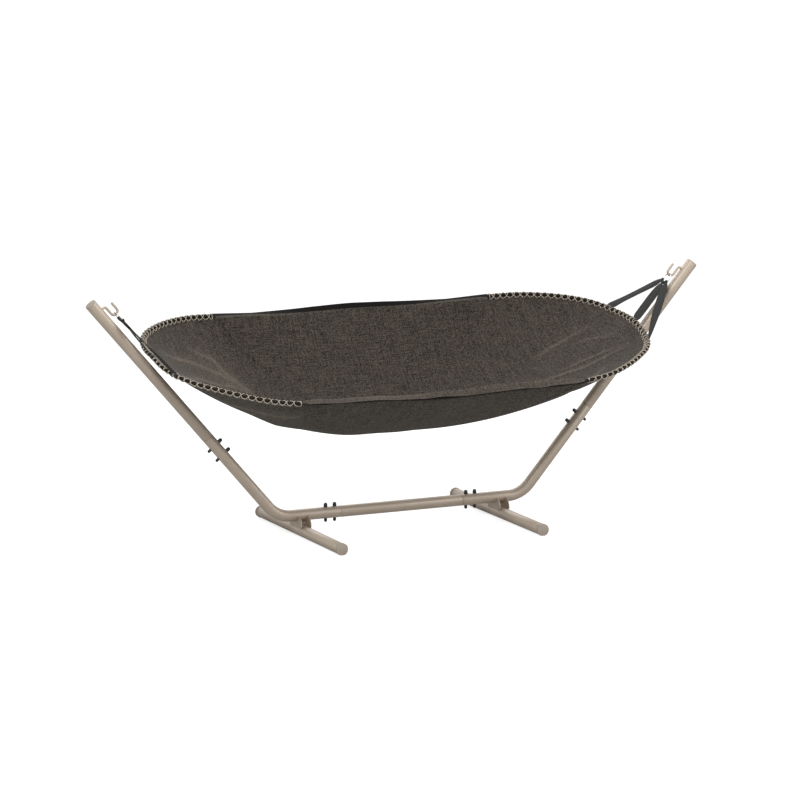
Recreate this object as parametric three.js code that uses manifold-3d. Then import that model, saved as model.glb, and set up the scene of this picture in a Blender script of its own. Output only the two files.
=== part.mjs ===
// Hammock: a deep boat-shaped cloth bed, laced at both rounded ends to curved bows, held along
// both sides by webbing, and hung by straps and steel rings from a bolted tube stand.
// Millimetres, +Z up. X runs along the bed and Y across it; -Y is the photographed side.

import * as THREE from 'three';
import { mergeVertices } from 'three/addons/utils/BufferGeometryUtils.js';
import Module from 'manifold-3d';

const wasm = await Module();
wasm.setup();

const radians = THREE.MathUtils.degToRad;

// Clearances
const seatGap = 0.3;
const cutOverrun = 4;

// Stand tube
const tubeDiameter = 50.8;
const tubeWall = 2;
const tubeSides = 16;

// Stand layout, on the tube axes
const footSpacing = 960;
const spineRise = 67.3;
const bendReach = 591.4;
const armReach = 1446;
const armAngle = radians(49.3);
const bendRadius = 140;
const bendSteps = 8;
const armSeamReach = 916.6;
const spineSeamReach = 293.5;
const armPlugLength = 140;
const spinePlugLength = 92;

// Feet
const footLength = 900;
const footCapRadius = 27;
const footCapCollar = 14;
const footCapDome = 3;
const footCapPlug = 25;
const footCapFlat = 1;

// Closing caps of the arms
const armCapThickness = 3;
const armCapDome = 3;
const armCapPlug = 22;

// Brackets between foot and bend tube
const bracketPlate = 3.5;
const bracketSpread = 20.5;
const bracketHalfWidth = 64;
const bracketWeb = 4;
const bracketOutlineShares = [[0.88, 0], [1, 0.22], [0.97, 0.5], [0.83, 0.8], [0.65, 1]];

// Fasteners
const boltRadius = 4;
const boltHeadRadius = 5.4;
const boltHeadHeight = 4.5;
const boltThreadLength = 11;
const boltSides = 8;
const coverRadius = 6.8;
const coverHeight = 16;
const capNutRadius = 8.4;
const capNutHeight = 18.5;
const armBoltDistances = [52, 108];
const spineBoltDistances = [25, 68];

// Hooks, by distance out from the arm's axis and down from the arm's top
const hookRodRadius = 5.5;
const hookRootDrop = 55;
const hookLegOffset = 40.5;
const hookCornerRadius = 9;
const hookTurnRadius = 16;
const hookTurnDrop = 98;
const hookTipDrop = 63;
const hookSides = 8;

// Rings
const ringWireRadius = 3;
const ringRadius = 26;

// Bed rim: how far it ends short of the rings, half of its width, how far its ends rise, and one
// quarter of its outline from the middle of a side to the middle of an end, as shares of its
// half length, its half width and that rise
const bedShortOfRings = 160.6;
const bedHalfWidth = 536;
const bedEndRise = 62;
const rimQuarterShares = [
  [0, 1, 0],
  [0.13, 0.986, 0],
  [0.258, 0.964, 0.03],
  [0.4, 0.957, 0.09],
  [0.586, 0.944, 0.25],
  [0.692, 0.901, 0.41],
  [0.793, 0.793, 0.6],
  [0.87, 0.668, 0.73],
  [0.93, 0.537, 0.79],
  [0.967, 0.4, 0.81],
  [0.988, 0.265, 0.84],
  [0.999, 0.132, 0.92],
  [1, 0, 1],
];
const bowStartIndex = 4;

// Bed hollow, its depth a share of the bed's half width
const bedDepthShare = 0.666;
const bedLowestShift = -60;
const sideHollowPower = 1.7;
const endHollowPower = 1.8;
const endRisePower = 2.86;

// How the bed hangs: its rim's centre seen from the middle of the stand and from the height of
// the rings, and its lean towards the near side
const bedShift = -20;
const bedSetback = -15.5;
const bedDrop = 237.5;
const bedLean = radians(13.2);

// Cloth
const clothThickness = 2.5;
const clothRingShares = [0.2, 0.4, 0.58, 0.73, 0.85, 0.93, 1];
const foldHeight = 9;
const foldStartShare = 0.35;
const foldsPerEnd = 8;
const creaseHeight = 12;
const lipClearance = 1;

// Side bands
const bandWidth = 38;
const bandThickness = 2.5;
const bandShow = 3;
const bandStationShares = [-1, -0.96, -0.9, -0.7, -0.48, -0.24, 0, 0.24, 0.48, 0.7, 0.9, 0.96, 1];
const rearBandTilts = [8, 6, 4, -2, 18, 34, 40, 34, 18, -2, 4, 6, 8].map(radians);
const frontBandTilts = bandStationShares.map(() => radians(16));

// End bows, hems and lacing
const bowRadius = 8;
const bowSides = 8;
const bowSteps = 33;
const hemThickness = 3;
const hemStart = 11;
const hemEnd = 24;
const cordRadius = 1.6;
const cordSides = 5;
const lacingLoops = 24;
const lacingLoopSteps = 8;
const lacingMargin = 12;
const lacingOuterReach = 11.6;
const lacingInnerReach = 17.6;
const lacingHalfHeight = 13.4;

// Straps: how wide they are from the ring to the bow, as shares of their full width, how far apart
// they sit on the ring, and how far each has turned out of their common fan midway
const webbingThickness = 1.6;
const strapWidth = 48;
const strapWidthShares = [
  [0, 0.31],
  [0.1, 0.46],
  [0.22, 0.66],
  [0.34, 0.83],
  [0.46, 0.96],
  [0.58, 1],
  [0.7, 1],
  [0.8, 1],
  [0.9, 0.82],
  [1, 0.64],
];
const strapRingSpread = radians(45);
const strapRingLeanShare = 0.5;
const strapLoopOffset = 3;
const frontStrapShift = 4;
const rearStrapShift = -4;
const frontStrapTurn = radians(2);
const centreStrapTurn = radians(-8);
const rearStrapTurn = radians(18);
const eyeSteps = 8;

// Worked out from the sizes above
const tubeRadius = tubeDiameter / 2;
const tubeBore = tubeRadius - tubeWall;
const plugRadius = tubeBore - seatGap;
const plugBore = plugRadius - tubeWall;
const footAxisHeight = footCapRadius - footCapFlat;
const spineHeight = footAxisHeight + spineRise;
const armLength = (armReach - bendReach) / Math.cos(armAngle);
const armSeam = (armSeamReach - bendReach) / Math.cos(armAngle);
const hookTurnOffset = hookLegOffset + hookTurnRadius;
const hookLowDrop = hookTurnDrop + hookTurnRadius;
const ringTopDrop = hookLowDrop - hookRodRadius - ringWireRadius - seatGap;
const ringDrop = ringTopDrop + ringRadius;
const ringOnArm = armLength - ringDrop;
const ringReach = bendReach + ringOnArm * Math.cos(armAngle) - hookTurnOffset * Math.sin(armAngle);
const ringHeight = spineHeight + ringOnArm * Math.sin(armAngle) + hookTurnOffset * Math.cos(armAngle);
const bedHalfLength = ringReach - bedShortOfRings;
const bedDepth = bedDepthShare * bedHalfWidth;

// Materials
const finish = (color, roughness, metalness) =>
  () => new THREE.MeshStandardMaterial({ color, roughness, metalness });
const taupeCoat = finish(0xa3978a, 0.55, 0.3);
const taupePlastic = finish(0x9a8f83, 0.6, 0);
const blackPlastic = finish(0x1b1b1b, 0.45, 0);
const blackSteel = finish(0x2b2b2b, 0.4, 0.8);
const brightSteel = finish(0xc9cacb, 0.2, 1);
const melangeCloth = finish(0x4e4840, 0.95, 0);
const blackWebbing = finish(0x2b2a28, 0.85, 0);
const greyWebbing = finish(0x424441, 0.85, 0);
const darkRod = finish(0x201c18, 0.6, 0);
const beigeCord = finish(0xa99d8c, 0.9, 0);

// Closed body with shared vertices and its faces pointing out
function closed(geometry) {
  const bare = geometry.index ? geometry.clone() : geometry;
  bare.deleteAttribute('normal');
  bare.deleteAttribute('uv');
  const merged = mergeVertices(bare);
  const index = merged.index.array;
  const place = merged.attributes.position;
  const corner = [0, 1, 2].map(() => new THREE.Vector3());
  const faces = [];
  let volume = 0;
  for (let i = 0; i < index.length; i += 3) {
    const [a, b, c] = index.slice(i, i + 3);
    if (a === b || b === c || c === a) {
      continue;
    }
    faces.push([a, b, c]);
    [a, b, c].forEach((vertex, k) => corner[k].fromBufferAttribute(place, vertex));
    volume += corner[0].dot(corner[1].cross(corner[2]));
  }
  const outward = volume > 0 ? faces : faces.map(([a, b, c]) => [a, c, b]);
  merged.setIndex(outward.flat());
  merged.computeVertexNormals();
  return merged;
}

function solidOf(geometry) {
  const body = closed(geometry);
  return new wasm.Manifold(new wasm.Mesh({
    numProp: 3,
    vertProperties: new Float32Array(body.attributes.position.array),
    triVerts: new Uint32Array(body.index.array),
  }));
}

function geometryOf(solid) {
  const mesh = solid.getMesh();
  const geometry = new THREE.BufferGeometry();
  geometry.setAttribute('position', new THREE.BufferAttribute(mesh.vertProperties, 3));
  geometry.setIndex(new THREE.BufferAttribute(mesh.triVerts, 1));
  return closed(geometry);
}

function cut(body, tools) {
  return geometryOf(tools.reduce((rest, tool) => rest.subtract(solidOf(tool)), solidOf(body)));
}

function joined(bodies) {
  const [first, ...others] = bodies.map(solidOf);
  return geometryOf(others.reduce((sum, body) => sum.add(body), first));
}

function piece(name, geometry, material) {
  const mesh = new THREE.Mesh(closed(geometry), material());
  mesh.name = name;
  return mesh;
}

// Turned about local Z from [radius, height] corners; the profile closes on itself
function turned(profile, sides) {
  const corners = [...profile, profile[0]].map(([radius, height]) => new THREE.Vector2(radius, height));
  return closed(new THREE.LatheGeometry(corners, sides).rotateX(Math.PI / 2));
}

function roundOutline(radius, sides) {
  return Array.from({ length: sides }, (_, i) => {
    const angle = (2 * Math.PI * i) / sides;
    return new THREE.Vector2(radius * Math.cos(angle), radius * Math.sin(angle));
  });
}

// Broken line that a sweep follows, with one ring of the sweep at each of its points
class Route extends THREE.Curve {
  constructor(points) {
    super();
    this.points = points;
  }

  getPoint(t, target = new THREE.Vector3()) {
    const place = t * (this.points.length - 1);
    const index = Math.min(Math.floor(place), this.points.length - 2);
    return target.lerpVectors(this.points[index], this.points[index + 1], place - index);
  }

  getUtoTmapping(u) {
    return u;
  }
}

function swept(points, shape) {
  const extrudePath = new Route(points);
  return closed(new THREE.ExtrudeGeometry(shape, { extrudePath, steps: points.length - 1 }));
}

function rod(points, radius, sides) {
  return swept(points, new THREE.Shape(roundOutline(radius, sides)));
}

// Skin over rings of corners in order, with a flat lid at each end; the two faces of a twisted
// strip are split along the same diagonals, so that its thickness holds
function lofted(rings) {
  const size = rings[0].length;
  const faces = [];
  for (let r = 0; r < rings.length - 1; r += 1) {
    for (let k = 0; k < size; k += 1) {
      const a = r * size + k;
      const b = r * size + ((k + 1) % size);
      const split = k < size / 2 ? [a, b, a + size, b, b + size, a + size]
        : [a, b, b + size, a, b + size, a + size];
      faces.push(...split);
    }
  }
  const last = (rings.length - 1) * size;
  for (let k = 1; k < size - 1; k += 1) {
    faces.push(0, k + 1, k, last, last + k, last + k + 1);
  }
  const geometry = new THREE.BufferGeometry().setFromPoints(rings.flat());
  geometry.setIndex(faces);
  return closed(geometry);
}

function arc(centre, radius, from, to, steps, place) {
  return Array.from({ length: steps + 1 }, (_, i) => {
    const angle = from + ((to - from) * i) / steps;
    return place(centre[0] + radius * Math.cos(angle), centre[1] + radius * Math.sin(angle));
  });
}

// Frame whose Z runs up one arm, or out along one half of the spine; side is -1 for left and 1
// for right, and the inner or upper face of the tube looks along -side X
function armFrame(side) {
  const frame = new THREE.Group();
  frame.position.set(side * bendReach, 0, spineHeight);
  frame.rotation.y = side * (Math.PI / 2 - armAngle);
  frame.updateMatrix();
  return frame;
}

function spineFrame(side) {
  const frame = new THREE.Group();
  frame.position.set(0, 0, spineHeight);
  frame.rotation.y = (side * Math.PI) / 2;
  frame.updateMatrix();
  return frame;
}

function boltHole(height) {
  const length = tubeDiameter + 2 * cutOverrun;
  return new THREE.CylinderGeometry(boltRadius + seatGap, boltRadius + seatGap, length, boltSides)
    .rotateZ(Math.PI / 2)
    .translate(0, 0, height);
}

// Stand tubes
function armTube() {
  const plugEnd = armSeam - armPlugLength;
  const shoulder = armSeam + tubeWall;
  const top = armLength - armCapThickness;
  const body = turned([
    [plugBore, plugEnd],
    [plugRadius, plugEnd],
    [plugRadius, armSeam],
    [tubeRadius, armSeam],
    [tubeRadius, top],
    [tubeBore, top],
    [tubeBore, shoulder],
    [plugBore, shoulder],
  ], tubeSides);
  return cut(body, armBoltDistances.map((distance) => boltHole(armSeam - distance)));
}

function spineTube() {
  const plugEnd = spineSeamReach + spinePlugLength;
  const seam = spineSeamReach;
  const shoulder = spineSeamReach - tubeWall;
  const body = turned([
    [plugBore, -plugEnd],
    [plugRadius, -plugEnd],
    [plugRadius, -seam],
    [tubeRadius, -seam],
    [tubeRadius, seam],
    [plugRadius, seam],
    [plugRadius, plugEnd],
    [plugBore, plugEnd],
    [plugBore, shoulder],
    [tubeBore, shoulder],
    [tubeBore, -shoulder],
    [plugBore, -shoulder],
  ], tubeSides);
  const places = spineBoltDistances.map((distance) => spineSeamReach + distance);
  return cut(body, places.flatMap((place) => [boltHole(place), boltHole(-place)]));
}

function bendTube(side) {
  const tangent = bendRadius * Math.tan(armAngle / 2);
  const along = new THREE.Vector3(side * Math.cos(armAngle), 0, Math.sin(armAngle));
  const corner = new THREE.Vector3(side * bendReach, 0, spineHeight);
  const place = (across, up) => new THREE.Vector3(side * across, 0, up);
  const centre = [bendReach - tangent, spineHeight + bendRadius];
  const route = [
    place(spineSeamReach + seatGap, spineHeight),
    ...arc(centre, bendRadius, -Math.PI / 2, armAngle - Math.PI / 2, bendSteps, place),
    corner.clone().addScaledVector(along, armSeam - seatGap),
  ];
  const shape = new THREE.Shape(roundOutline(tubeRadius, tubeSides));
  shape.holes.push(new THREE.Path(roundOutline(tubeBore, tubeSides)));
  const holes = [
    ...armBoltDistances.map((distance) =>
      boltHole(armSeam - distance).applyMatrix4(armFrame(side).matrix)),
    ...spineBoltDistances.map((distance) =>
      boltHole(spineSeamReach + distance).applyMatrix4(spineFrame(side).matrix)),
  ];
  return cut(swept(route, shape), holes);
}

function armCap() {
  const top = armLength;
  const seat = top - armCapThickness + seatGap;
  return turned([
    [0, seat - armCapPlug],
    [plugRadius, seat - armCapPlug],
    [plugRadius, seat],
    [tubeRadius, seat],
    [tubeRadius, top],
    [tubeRadius / 2, top + armCapDome * 0.75],
    [0, top + armCapDome],
  ], tubeSides);
}

// Feet
function footTube() {
  const half = footLength / 2 - footCapDome - footCapCollar - seatGap;
  return turned([
    [tubeBore, -half],
    [tubeRadius, -half],
    [tubeRadius, half],
    [tubeBore, half],
  ], tubeSides).rotateX(-Math.PI / 2);
}

function footCap(end) {
  const outer = footLength / 2;
  const rim = outer - footCapDome;
  const seat = rim - footCapCollar;
  const body = turned([
    [0, seat - footCapPlug],
    [plugRadius, seat - footCapPlug],
    [plugRadius, seat],
    [footCapRadius, seat],
    [footCapRadius, rim],
    [footCapRadius / 2, outer - footCapDome / 4],
    [0, outer],
  ], tubeSides).rotateX((-end * Math.PI) / 2);
  const size = footCapRadius * 2;
  const floor = new THREE.BoxGeometry(size, footLength, size)
    .translate(0, 0, -footAxisHeight - footCapRadius);
  return cut(body, [floor]);
}

function bracket() {
  const seat = Math.sqrt(tubeRadius ** 2 - bracketSpread ** 2) + seatGap;
  const side = bracketOutlineShares.map(([across, up]) =>
    [across * bracketHalfWidth, THREE.MathUtils.lerp(seat, spineRise, up)]);
  const outline = new THREE.Shape();
  outline.moveTo(-side[0][0], side[0][1]);
  side.forEach(([across, up]) => outline.lineTo(across, up));
  outline.lineTo(tubeRadius + seatGap, spineRise);
  outline.absarc(0, spineRise, tubeRadius + seatGap, 0, -Math.PI, true);
  side.reverse().forEach(([across, up]) => outline.lineTo(-across, up));
  const standUp = new THREE.Matrix4().makeBasis(
    new THREE.Vector3(0, 1, 0),
    new THREE.Vector3(0, 0, 1),
    new THREE.Vector3(1, 0, 0),
  );
  const plate = new THREE.ExtrudeGeometry(outline, {
    depth: bracketPlate,
    bevelEnabled: false,
    curveSegments: tubeSides / 2,
  }).applyMatrix4(standUp);
  const webHeight = spineRise - 2 * (tubeRadius + seatGap);
  const web = new THREE.BoxGeometry(2 * bracketSpread + bracketPlate, bracketWeb, webHeight)
    .translate(0, 0, spineRise / 2);
  return joined([
    plate.clone().translate(bracketSpread, 0, 0),
    plate.clone().translate(-bracketSpread - bracketPlate, 0, 0),
    web,
  ]);
}

// Fasteners, standing along Z through a tube whose axis passes through their origin
function bolt() {
  const seat = -tubeRadius - seatGap;
  return turned([
    [0, seat - boltHeadHeight],
    [boltHeadRadius, seat - boltHeadHeight],
    [boltHeadRadius, seat],
    [boltRadius, seat],
    [boltRadius, tubeRadius + boltThreadLength],
    [0, tubeRadius + boltThreadLength],
  ], boltSides);
}

function bullet(radius, height, boreRadius, boreDepth) {
  return [
    [boreRadius, 0],
    [radius, 0],
    [radius, height * 0.55],
    [radius * 0.7, height * 0.9],
    [0, height],
    [0, boreDepth],
    [boreRadius, boreDepth],
  ];
}

function headCover() {
  const bore = boltHeadRadius + seatGap;
  const outline = bullet(coverRadius, coverHeight, bore, boltHeadHeight + 2 * seatGap);
  return turned(outline, boltSides).rotateX(Math.PI).translate(0, 0, -tubeRadius - seatGap);
}

function capNut() {
  const outline = bullet(capNutRadius, capNutHeight, boltRadius + seatGap, boltThreadLength + seatGap);
  return turned(outline, boltSides).translate(0, 0, tubeRadius + seatGap);
}

function fasteners(sideName, side, tubeName, height, number) {
  const group = new THREE.Group();
  group.position.z = height;
  group.rotation.y = (-side * Math.PI) / 2;
  const stem = `${sideName}_${tubeName}`;
  group.add(piece(`${stem}_bolt_${number}`, bolt(), blackSteel));
  group.add(piece(`${stem}_head_cover_${number}`, headCover(), blackPlastic));
  group.add(piece(`${stem}_cap_nut_${number}`, capNut(), blackPlastic));
  return group;
}

// Hook and ring, in the arm's frame
function hook(side) {
  const place = (out, drop) => new THREE.Vector3(-side * out, 0, armLength - drop);
  const legStart = hookRootDrop + hookCornerRadius;
  const route = [
    place(tubeRadius + seatGap, hookRootDrop),
    ...arc([hookLegOffset - hookCornerRadius, legStart], hookCornerRadius, -Math.PI / 2, 0, 3, place),
    ...arc([hookTurnOffset, hookTurnDrop], hookTurnRadius, Math.PI, 0, 8, place),
    place(hookTurnOffset + hookTurnRadius, hookTipDrop),
  ];
  return rod(route, hookRodRadius, hookSides);
}

function ringCentre(side) {
  return new THREE.Vector3(-side * hookTurnOffset, 0, ringOnArm);
}

function ring(side) {
  const { x, y, z } = ringCentre(side);
  return new THREE.TorusGeometry(ringRadius, ringWireRadius, 6, 24).rotateY(Math.PI / 2).translate(x, y, z);
}

// Rim of the bed: a closed curve through the four mirrored quarters
const rimCurve = (() => {
  const quarter = rimQuarterShares.map(([along, across, rise]) =>
    new THREE.Vector3(along * bedHalfLength, across * bedHalfWidth, rise * bedEndRise));
  const mirrored = (points, x, y) => points.map((p) => new THREE.Vector3(x * p.x, y * p.y, p.z));
  const back = [...quarter].reverse();
  return new THREE.CatmullRomCurve3([
    ...quarter,
    ...mirrored(back, 1, -1).slice(1),
    ...mirrored(quarter, -1, -1).slice(1),
    ...mirrored(back, -1, 1).slice(1, -1),
  ], true);
})();
const rimControlCount = rimCurve.points.length;
const rimHalfCount = rimControlCount / 2;
const rimFineSteps = 720;
const rimFine = rimCurve.getPoints(rimFineSteps);

// Height of the cloth over the plane of the rim, at a place in that plane
const rimByAngle = rimFine.slice(0, -1).map((point) => ({
  angle: Math.atan2(point.y, point.x - bedLowestShift),
  reach: Math.hypot(point.x - bedLowestShift, point.y),
  rise: point.z,
})).sort((a, b) => a.angle - b.angle);

function rimTowards(angle) {
  const next = rimByAngle.findIndex((entry) => entry.angle > angle);
  const high = rimByAngle[next === -1 ? 0 : next];
  const low = rimByAngle[next <= 0 ? rimByAngle.length - 1 : next - 1];
  const span = (high.angle - low.angle + 2 * Math.PI) % (2 * Math.PI);
  const share = ((angle - low.angle + 2 * Math.PI) % (2 * Math.PI)) / span;
  return {
    reach: THREE.MathUtils.lerp(low.reach, high.reach, share),
    rise: THREE.MathUtils.lerp(low.rise, high.rise, share),
  };
}

function hollowHeight(x, y) {
  const along = x - bedLowestShift;
  const { reach, rise } = rimTowards(Math.atan2(y, along));
  const share = Math.hypot(along, y) / reach;
  const turn = Math.atan2(Math.abs(along) / bedHalfLength, Math.abs(y) / bedHalfWidth);
  const power = THREE.MathUtils.lerp(sideHollowPower, endHollowPower, Math.sin(turn) ** 2);
  return rise * share ** endRisePower - bedDepth * (1 - share ** power);
}

// Broken line of equal steps along the rim between two of its control points
function rimStretch(first, last, steps) {
  const fine = Array.from({ length: 241 }, (_, i) =>
    rimCurve.getPoint(((first + ((last - first) * i) / 240) / rimControlCount + 1) % 1));
  return new THREE.CatmullRomCurve3(fine).getSpacedPoints(steps);
}

// At each point of a stretch: along the rim, inwards down the cloth, and square to both
function rimFrames(points) {
  return points.map((point, i) => {
    const before = points[Math.max(i - 1, 0)];
    const after = points[Math.min(i + 1, points.length - 1)];
    const along = after.clone().sub(before).normalize();
    const level = new THREE.Vector3(along.y, -along.x, 0).normalize();
    if (level.dot(point) > 0) {
      level.negate();
    }
    const probe = point.clone().addScaledVector(level, hemEnd);
    const fall = hollowHeight(point.x, point.y) - hollowHeight(probe.x, probe.y);
    const inward = level.clone().multiplyScalar(hemEnd).setZ(-fall);
    inward.addScaledVector(along, -inward.dot(along)).normalize();
    const out = new THREE.Vector3().crossVectors(along, inward);
    if (out.z < 0) {
      out.negate();
    }
    return { point, along, level, inward, out };
  });
}

const rimStretches = {
  right: rimFrames(rimStretch(bowStartIndex, rimHalfCount - bowStartIndex, bowSteps)),
  left: rimFrames(rimStretch(rimHalfCount + bowStartIndex, rimControlCount - bowStartIndex, bowSteps)),
};

// Side of the bed from bow to bow: stations at shares of the side's half length
function sideFrames(front) {
  const span = front ? [rimHalfCount - bowStartIndex, rimHalfCount + bowStartIndex]
    : [rimControlCount - bowStartIndex, rimControlCount + bowStartIndex];
  const dense = rimStretch(span[0], span[1], 200);
  const points = bandStationShares.map((share) => dense[Math.round((share + 1) * 100)]);
  return rimFrames(points);
}
const frontSide = sideFrames(true);
const rearSide = sideFrames(false);

// Place on a bow's broken line at a distance from its start, with the frame there
function bowPlace(frames, distance) {
  const step = frames[0].point.distanceTo(frames[1].point);
  const place = THREE.MathUtils.clamp(distance / step, 0, frames.length - 1);
  const index = Math.min(Math.floor(place), frames.length - 2);
  const share = place - index;
  const from = frames[index];
  const to = frames[index + 1];
  const blend = (key) => from[key].clone().lerp(to[key], share);
  return {
    point: blend('point'),
    along: to.point.clone().sub(from.point).normalize(),
    inward: blend('inward').normalize(),
    out: blend('out').normalize(),
  };
}

function bowLength(frames) {
  return frames[0].point.distanceTo(frames[1].point) * (frames.length - 1);
}

function bow(frames) {
  return rod(frames.map(({ point }) => point), bowRadius, bowSides);
}

function lacingPitch(frames) {
  return (bowLength(frames) - 2 * lacingMargin) / lacingLoops;
}

function lacingRoute(frames) {
  const halfReach = (lacingOuterReach + lacingInnerReach) / 2;
  const centre = (lacingInnerReach - lacingOuterReach) / 2;
  const steps = lacingLoops * lacingLoopSteps;
  const place = (distance, reach, height) => {
    const { point, inward, out } = bowPlace(frames, distance);
    return point.clone().addScaledVector(inward, reach).addScaledVector(out, height);
  };
  const turns = Array.from({ length: steps - 2 }, (_, i) => {
    const turn = (i + 1.5) / lacingLoopSteps;
    const angle = 2 * Math.PI * turn;
    return place(
      lacingMargin + turn * lacingPitch(frames),
      centre + halfReach * Math.cos(angle),
      lacingHalfHeight * Math.sin(angle),
    );
  });
  const face = hemThickness / 2 + seatGap;
  const stub = face + 2 * cordRadius;
  const end = lacingMargin + lacingLoops * lacingPitch(frames);
  return [
    place(lacingMargin, lacingInnerReach, face),
    place(lacingMargin, lacingInnerReach, stub),
    ...turns,
    place(end, lacingInnerReach, -stub),
    place(end, lacingInnerReach, -face),
  ];
}

function leastSelfGap(points, apart, radius) {
  let least = Infinity;
  for (let i = 0; i < points.length; i += 1) {
    for (let k = i + apart; k < points.length; k += 1) {
      least = Math.min(least, points[i].distanceTo(points[k]));
    }
  }
  return least - 2 * radius;
}

function hem(frames, route) {
  const rings = frames.map(({ point, inward, out }) => [
    [hemStart, 1],
    [hemEnd, 1],
    [hemEnd, -1],
    [hemStart, -1],
  ].map(([reach, face]) => point.clone()
    .addScaledVector(inward, reach)
    .addScaledVector(out, (face * hemThickness) / 2)));
  return cut(lofted(rings), [rod(route, cordRadius + seatGap, cordSides)]);
}

// Side band: a flat strip on the rim line, leaning up and out by the tilt of each station
function bandDirection(frame, tilt) {
  return frame.level.clone().multiplyScalar(Math.cos(tilt)).setZ(-Math.sin(tilt));
}

function sideBand(frames, tilts) {
  const rings = frames.map((frame, i) => {
    const inward = bandDirection(frame, tilts[i]);
    const face = new THREE.Vector3().crossVectors(frame.along, inward).normalize();
    const ends = { 0: 1, [frames.length - 1]: -1 };
    const place = frame.point.clone().addScaledVector(frame.along, (ends[i] ?? 0) * seatGap);
    return [[1, 1], [-1, 1], [-1, -1], [1, -1]].map(([edge, side]) => place.clone()
      .addScaledVector(inward, (edge * bandWidth) / 2)
      .addScaledVector(face, (side * bandThickness) / 2));
  });
  return lofted(rings);
}

// Cloth: rings of stations from the lowest place out to its edge, then the same stations again
// one thickness below
function clothEdge() {
  const beside = bandWidth / 2 + clothThickness;
  const beyond = bandShow - bandWidth / 2;
  const above = bandThickness / 2 + lipClearance + clothThickness;
  const atHem = ({ point, inward }, i) => ({
    point: point.clone().addScaledVector(inward, hemEnd + clothThickness / 2),
    share: i / bowSteps,
  });
  const overBand = (frame, i, frames) => {
    const tilt = frontBandTilts[i];
    const inset = i === 1 || i === frames.length - 2 ? beside : beyond;
    const lip = (x, y) => {
      const across = (x - frame.point.x) * frame.level.x + (y - frame.point.y) * frame.level.y;
      const along = (x - frame.point.x) * frame.along.x + (y - frame.point.y) * frame.along.y;
      return frame.point.z + along * frame.along.z - across * Math.tan(tilt) + above / Math.cos(tilt);
    };
    const point = frame.point.clone().addScaledVector(frame.level, inset * Math.cos(tilt));
    return { point: point.setZ(lip(point.x, point.y)), lip };
  };
  const besideBand = (frame, i) => ({
    point: frame.point.clone().addScaledVector(bandDirection(frame, rearBandTilts[i]), beside),
  });
  return [
    ...rimStretches.right.map(atHem),
    ...frontSide.map(overBand).slice(1, -1),
    ...rimStretches.left.map(atHem),
    ...rearSide.map(besideBand).slice(1, -1),
  ];
}

function foldAt(share, ringShare) {
  if (share === undefined) {
    return 0;
  }
  const window = Math.sin(Math.PI * THREE.MathUtils.clamp(
    (ringShare - foldStartShare) / (1 - foldStartShare), 0, 1));
  const atCorner = share === 0 || share === 1;
  const wave = atCorner ? creaseHeight : foldHeight * Math.sin(2 * Math.PI * foldsPerEnd * share);
  return wave * window;
}

function cloth() {
  const edge = clothEdge();
  const count = edge.length;
  const lowest = new THREE.Vector3(bedLowestShift, 0, hollowHeight(bedLowestShift, 0));
  const top = [lowest];
  clothRingShares.forEach((ringShare) => edge.forEach((station) => {
    const x = THREE.MathUtils.lerp(bedLowestShift, station.point.x, ringShare);
    const y = station.point.y * ringShare;
    const miss = station.point.z - hollowHeight(station.point.x, station.point.y);
    const inLip = station.lip && ringShare >= clothRingShares.at(-2);
    const height = inLip ? station.lip(x, y)
      : hollowHeight(x, y) + miss * ringShare ** 6 + foldAt(station.share, ringShare);
    top.push(new THREE.Vector3(x, y, height));
  }));
  const at = (r, k) => 1 + r * count + ((k + count) % count);
  const faces = [];
  for (let k = 0; k < count; k += 1) {
    faces.push([0, at(0, k + 1), at(0, k)]);
    for (let r = 0; r < clothRingShares.length - 1; r += 1) {
      faces.push([at(r, k), at(r, k + 1), at(r + 1, k)], [at(r, k + 1), at(r + 1, k + 1), at(r + 1, k)]);
    }
  }
  const upper = new THREE.BufferGeometry().setFromPoints(top);
  upper.setIndex(faces.flat());
  upper.computeVertexNormals();
  const normals = upper.attributes.normal;
  const down = new THREE.Vector3().fromBufferAttribute(normals, 0).z > 0 ? -1 : 1;
  const under = top.map((point, i) => point.clone().addScaledVector(
    new THREE.Vector3().fromBufferAttribute(normals, i), down * clothThickness));
  const shift = top.length;
  const shell = [
    ...faces,
    ...faces.map(([a, b, c]) => [a + shift, c + shift, b + shift]),
  ];
  const outer = clothRingShares.length - 1;
  for (let k = 0; k < count; k += 1) {
    const a = at(outer, k);
    const b = at(outer, k + 1);
    shell.push([a, b, b + shift], [a, b + shift, a + shift]);
  }
  const geometry = new THREE.BufferGeometry().setFromPoints([...top, ...under]);
  geometry.setIndex(shell.flat());
  return closed(geometry);
}

// Width of a strap at a share of the way from the ring to the bow
function strapWidthAt(share) {
  const next = Math.max(strapWidthShares.findIndex(([place]) => place >= share), 1);
  const [fromPlace, fromWidth] = strapWidthShares[next - 1];
  const [toPlace, toWidth] = strapWidthShares[next];
  return strapWidth * THREE.MathUtils.mapLinear(share, fromPlace, toPlace, fromWidth, toWidth);
}

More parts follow.
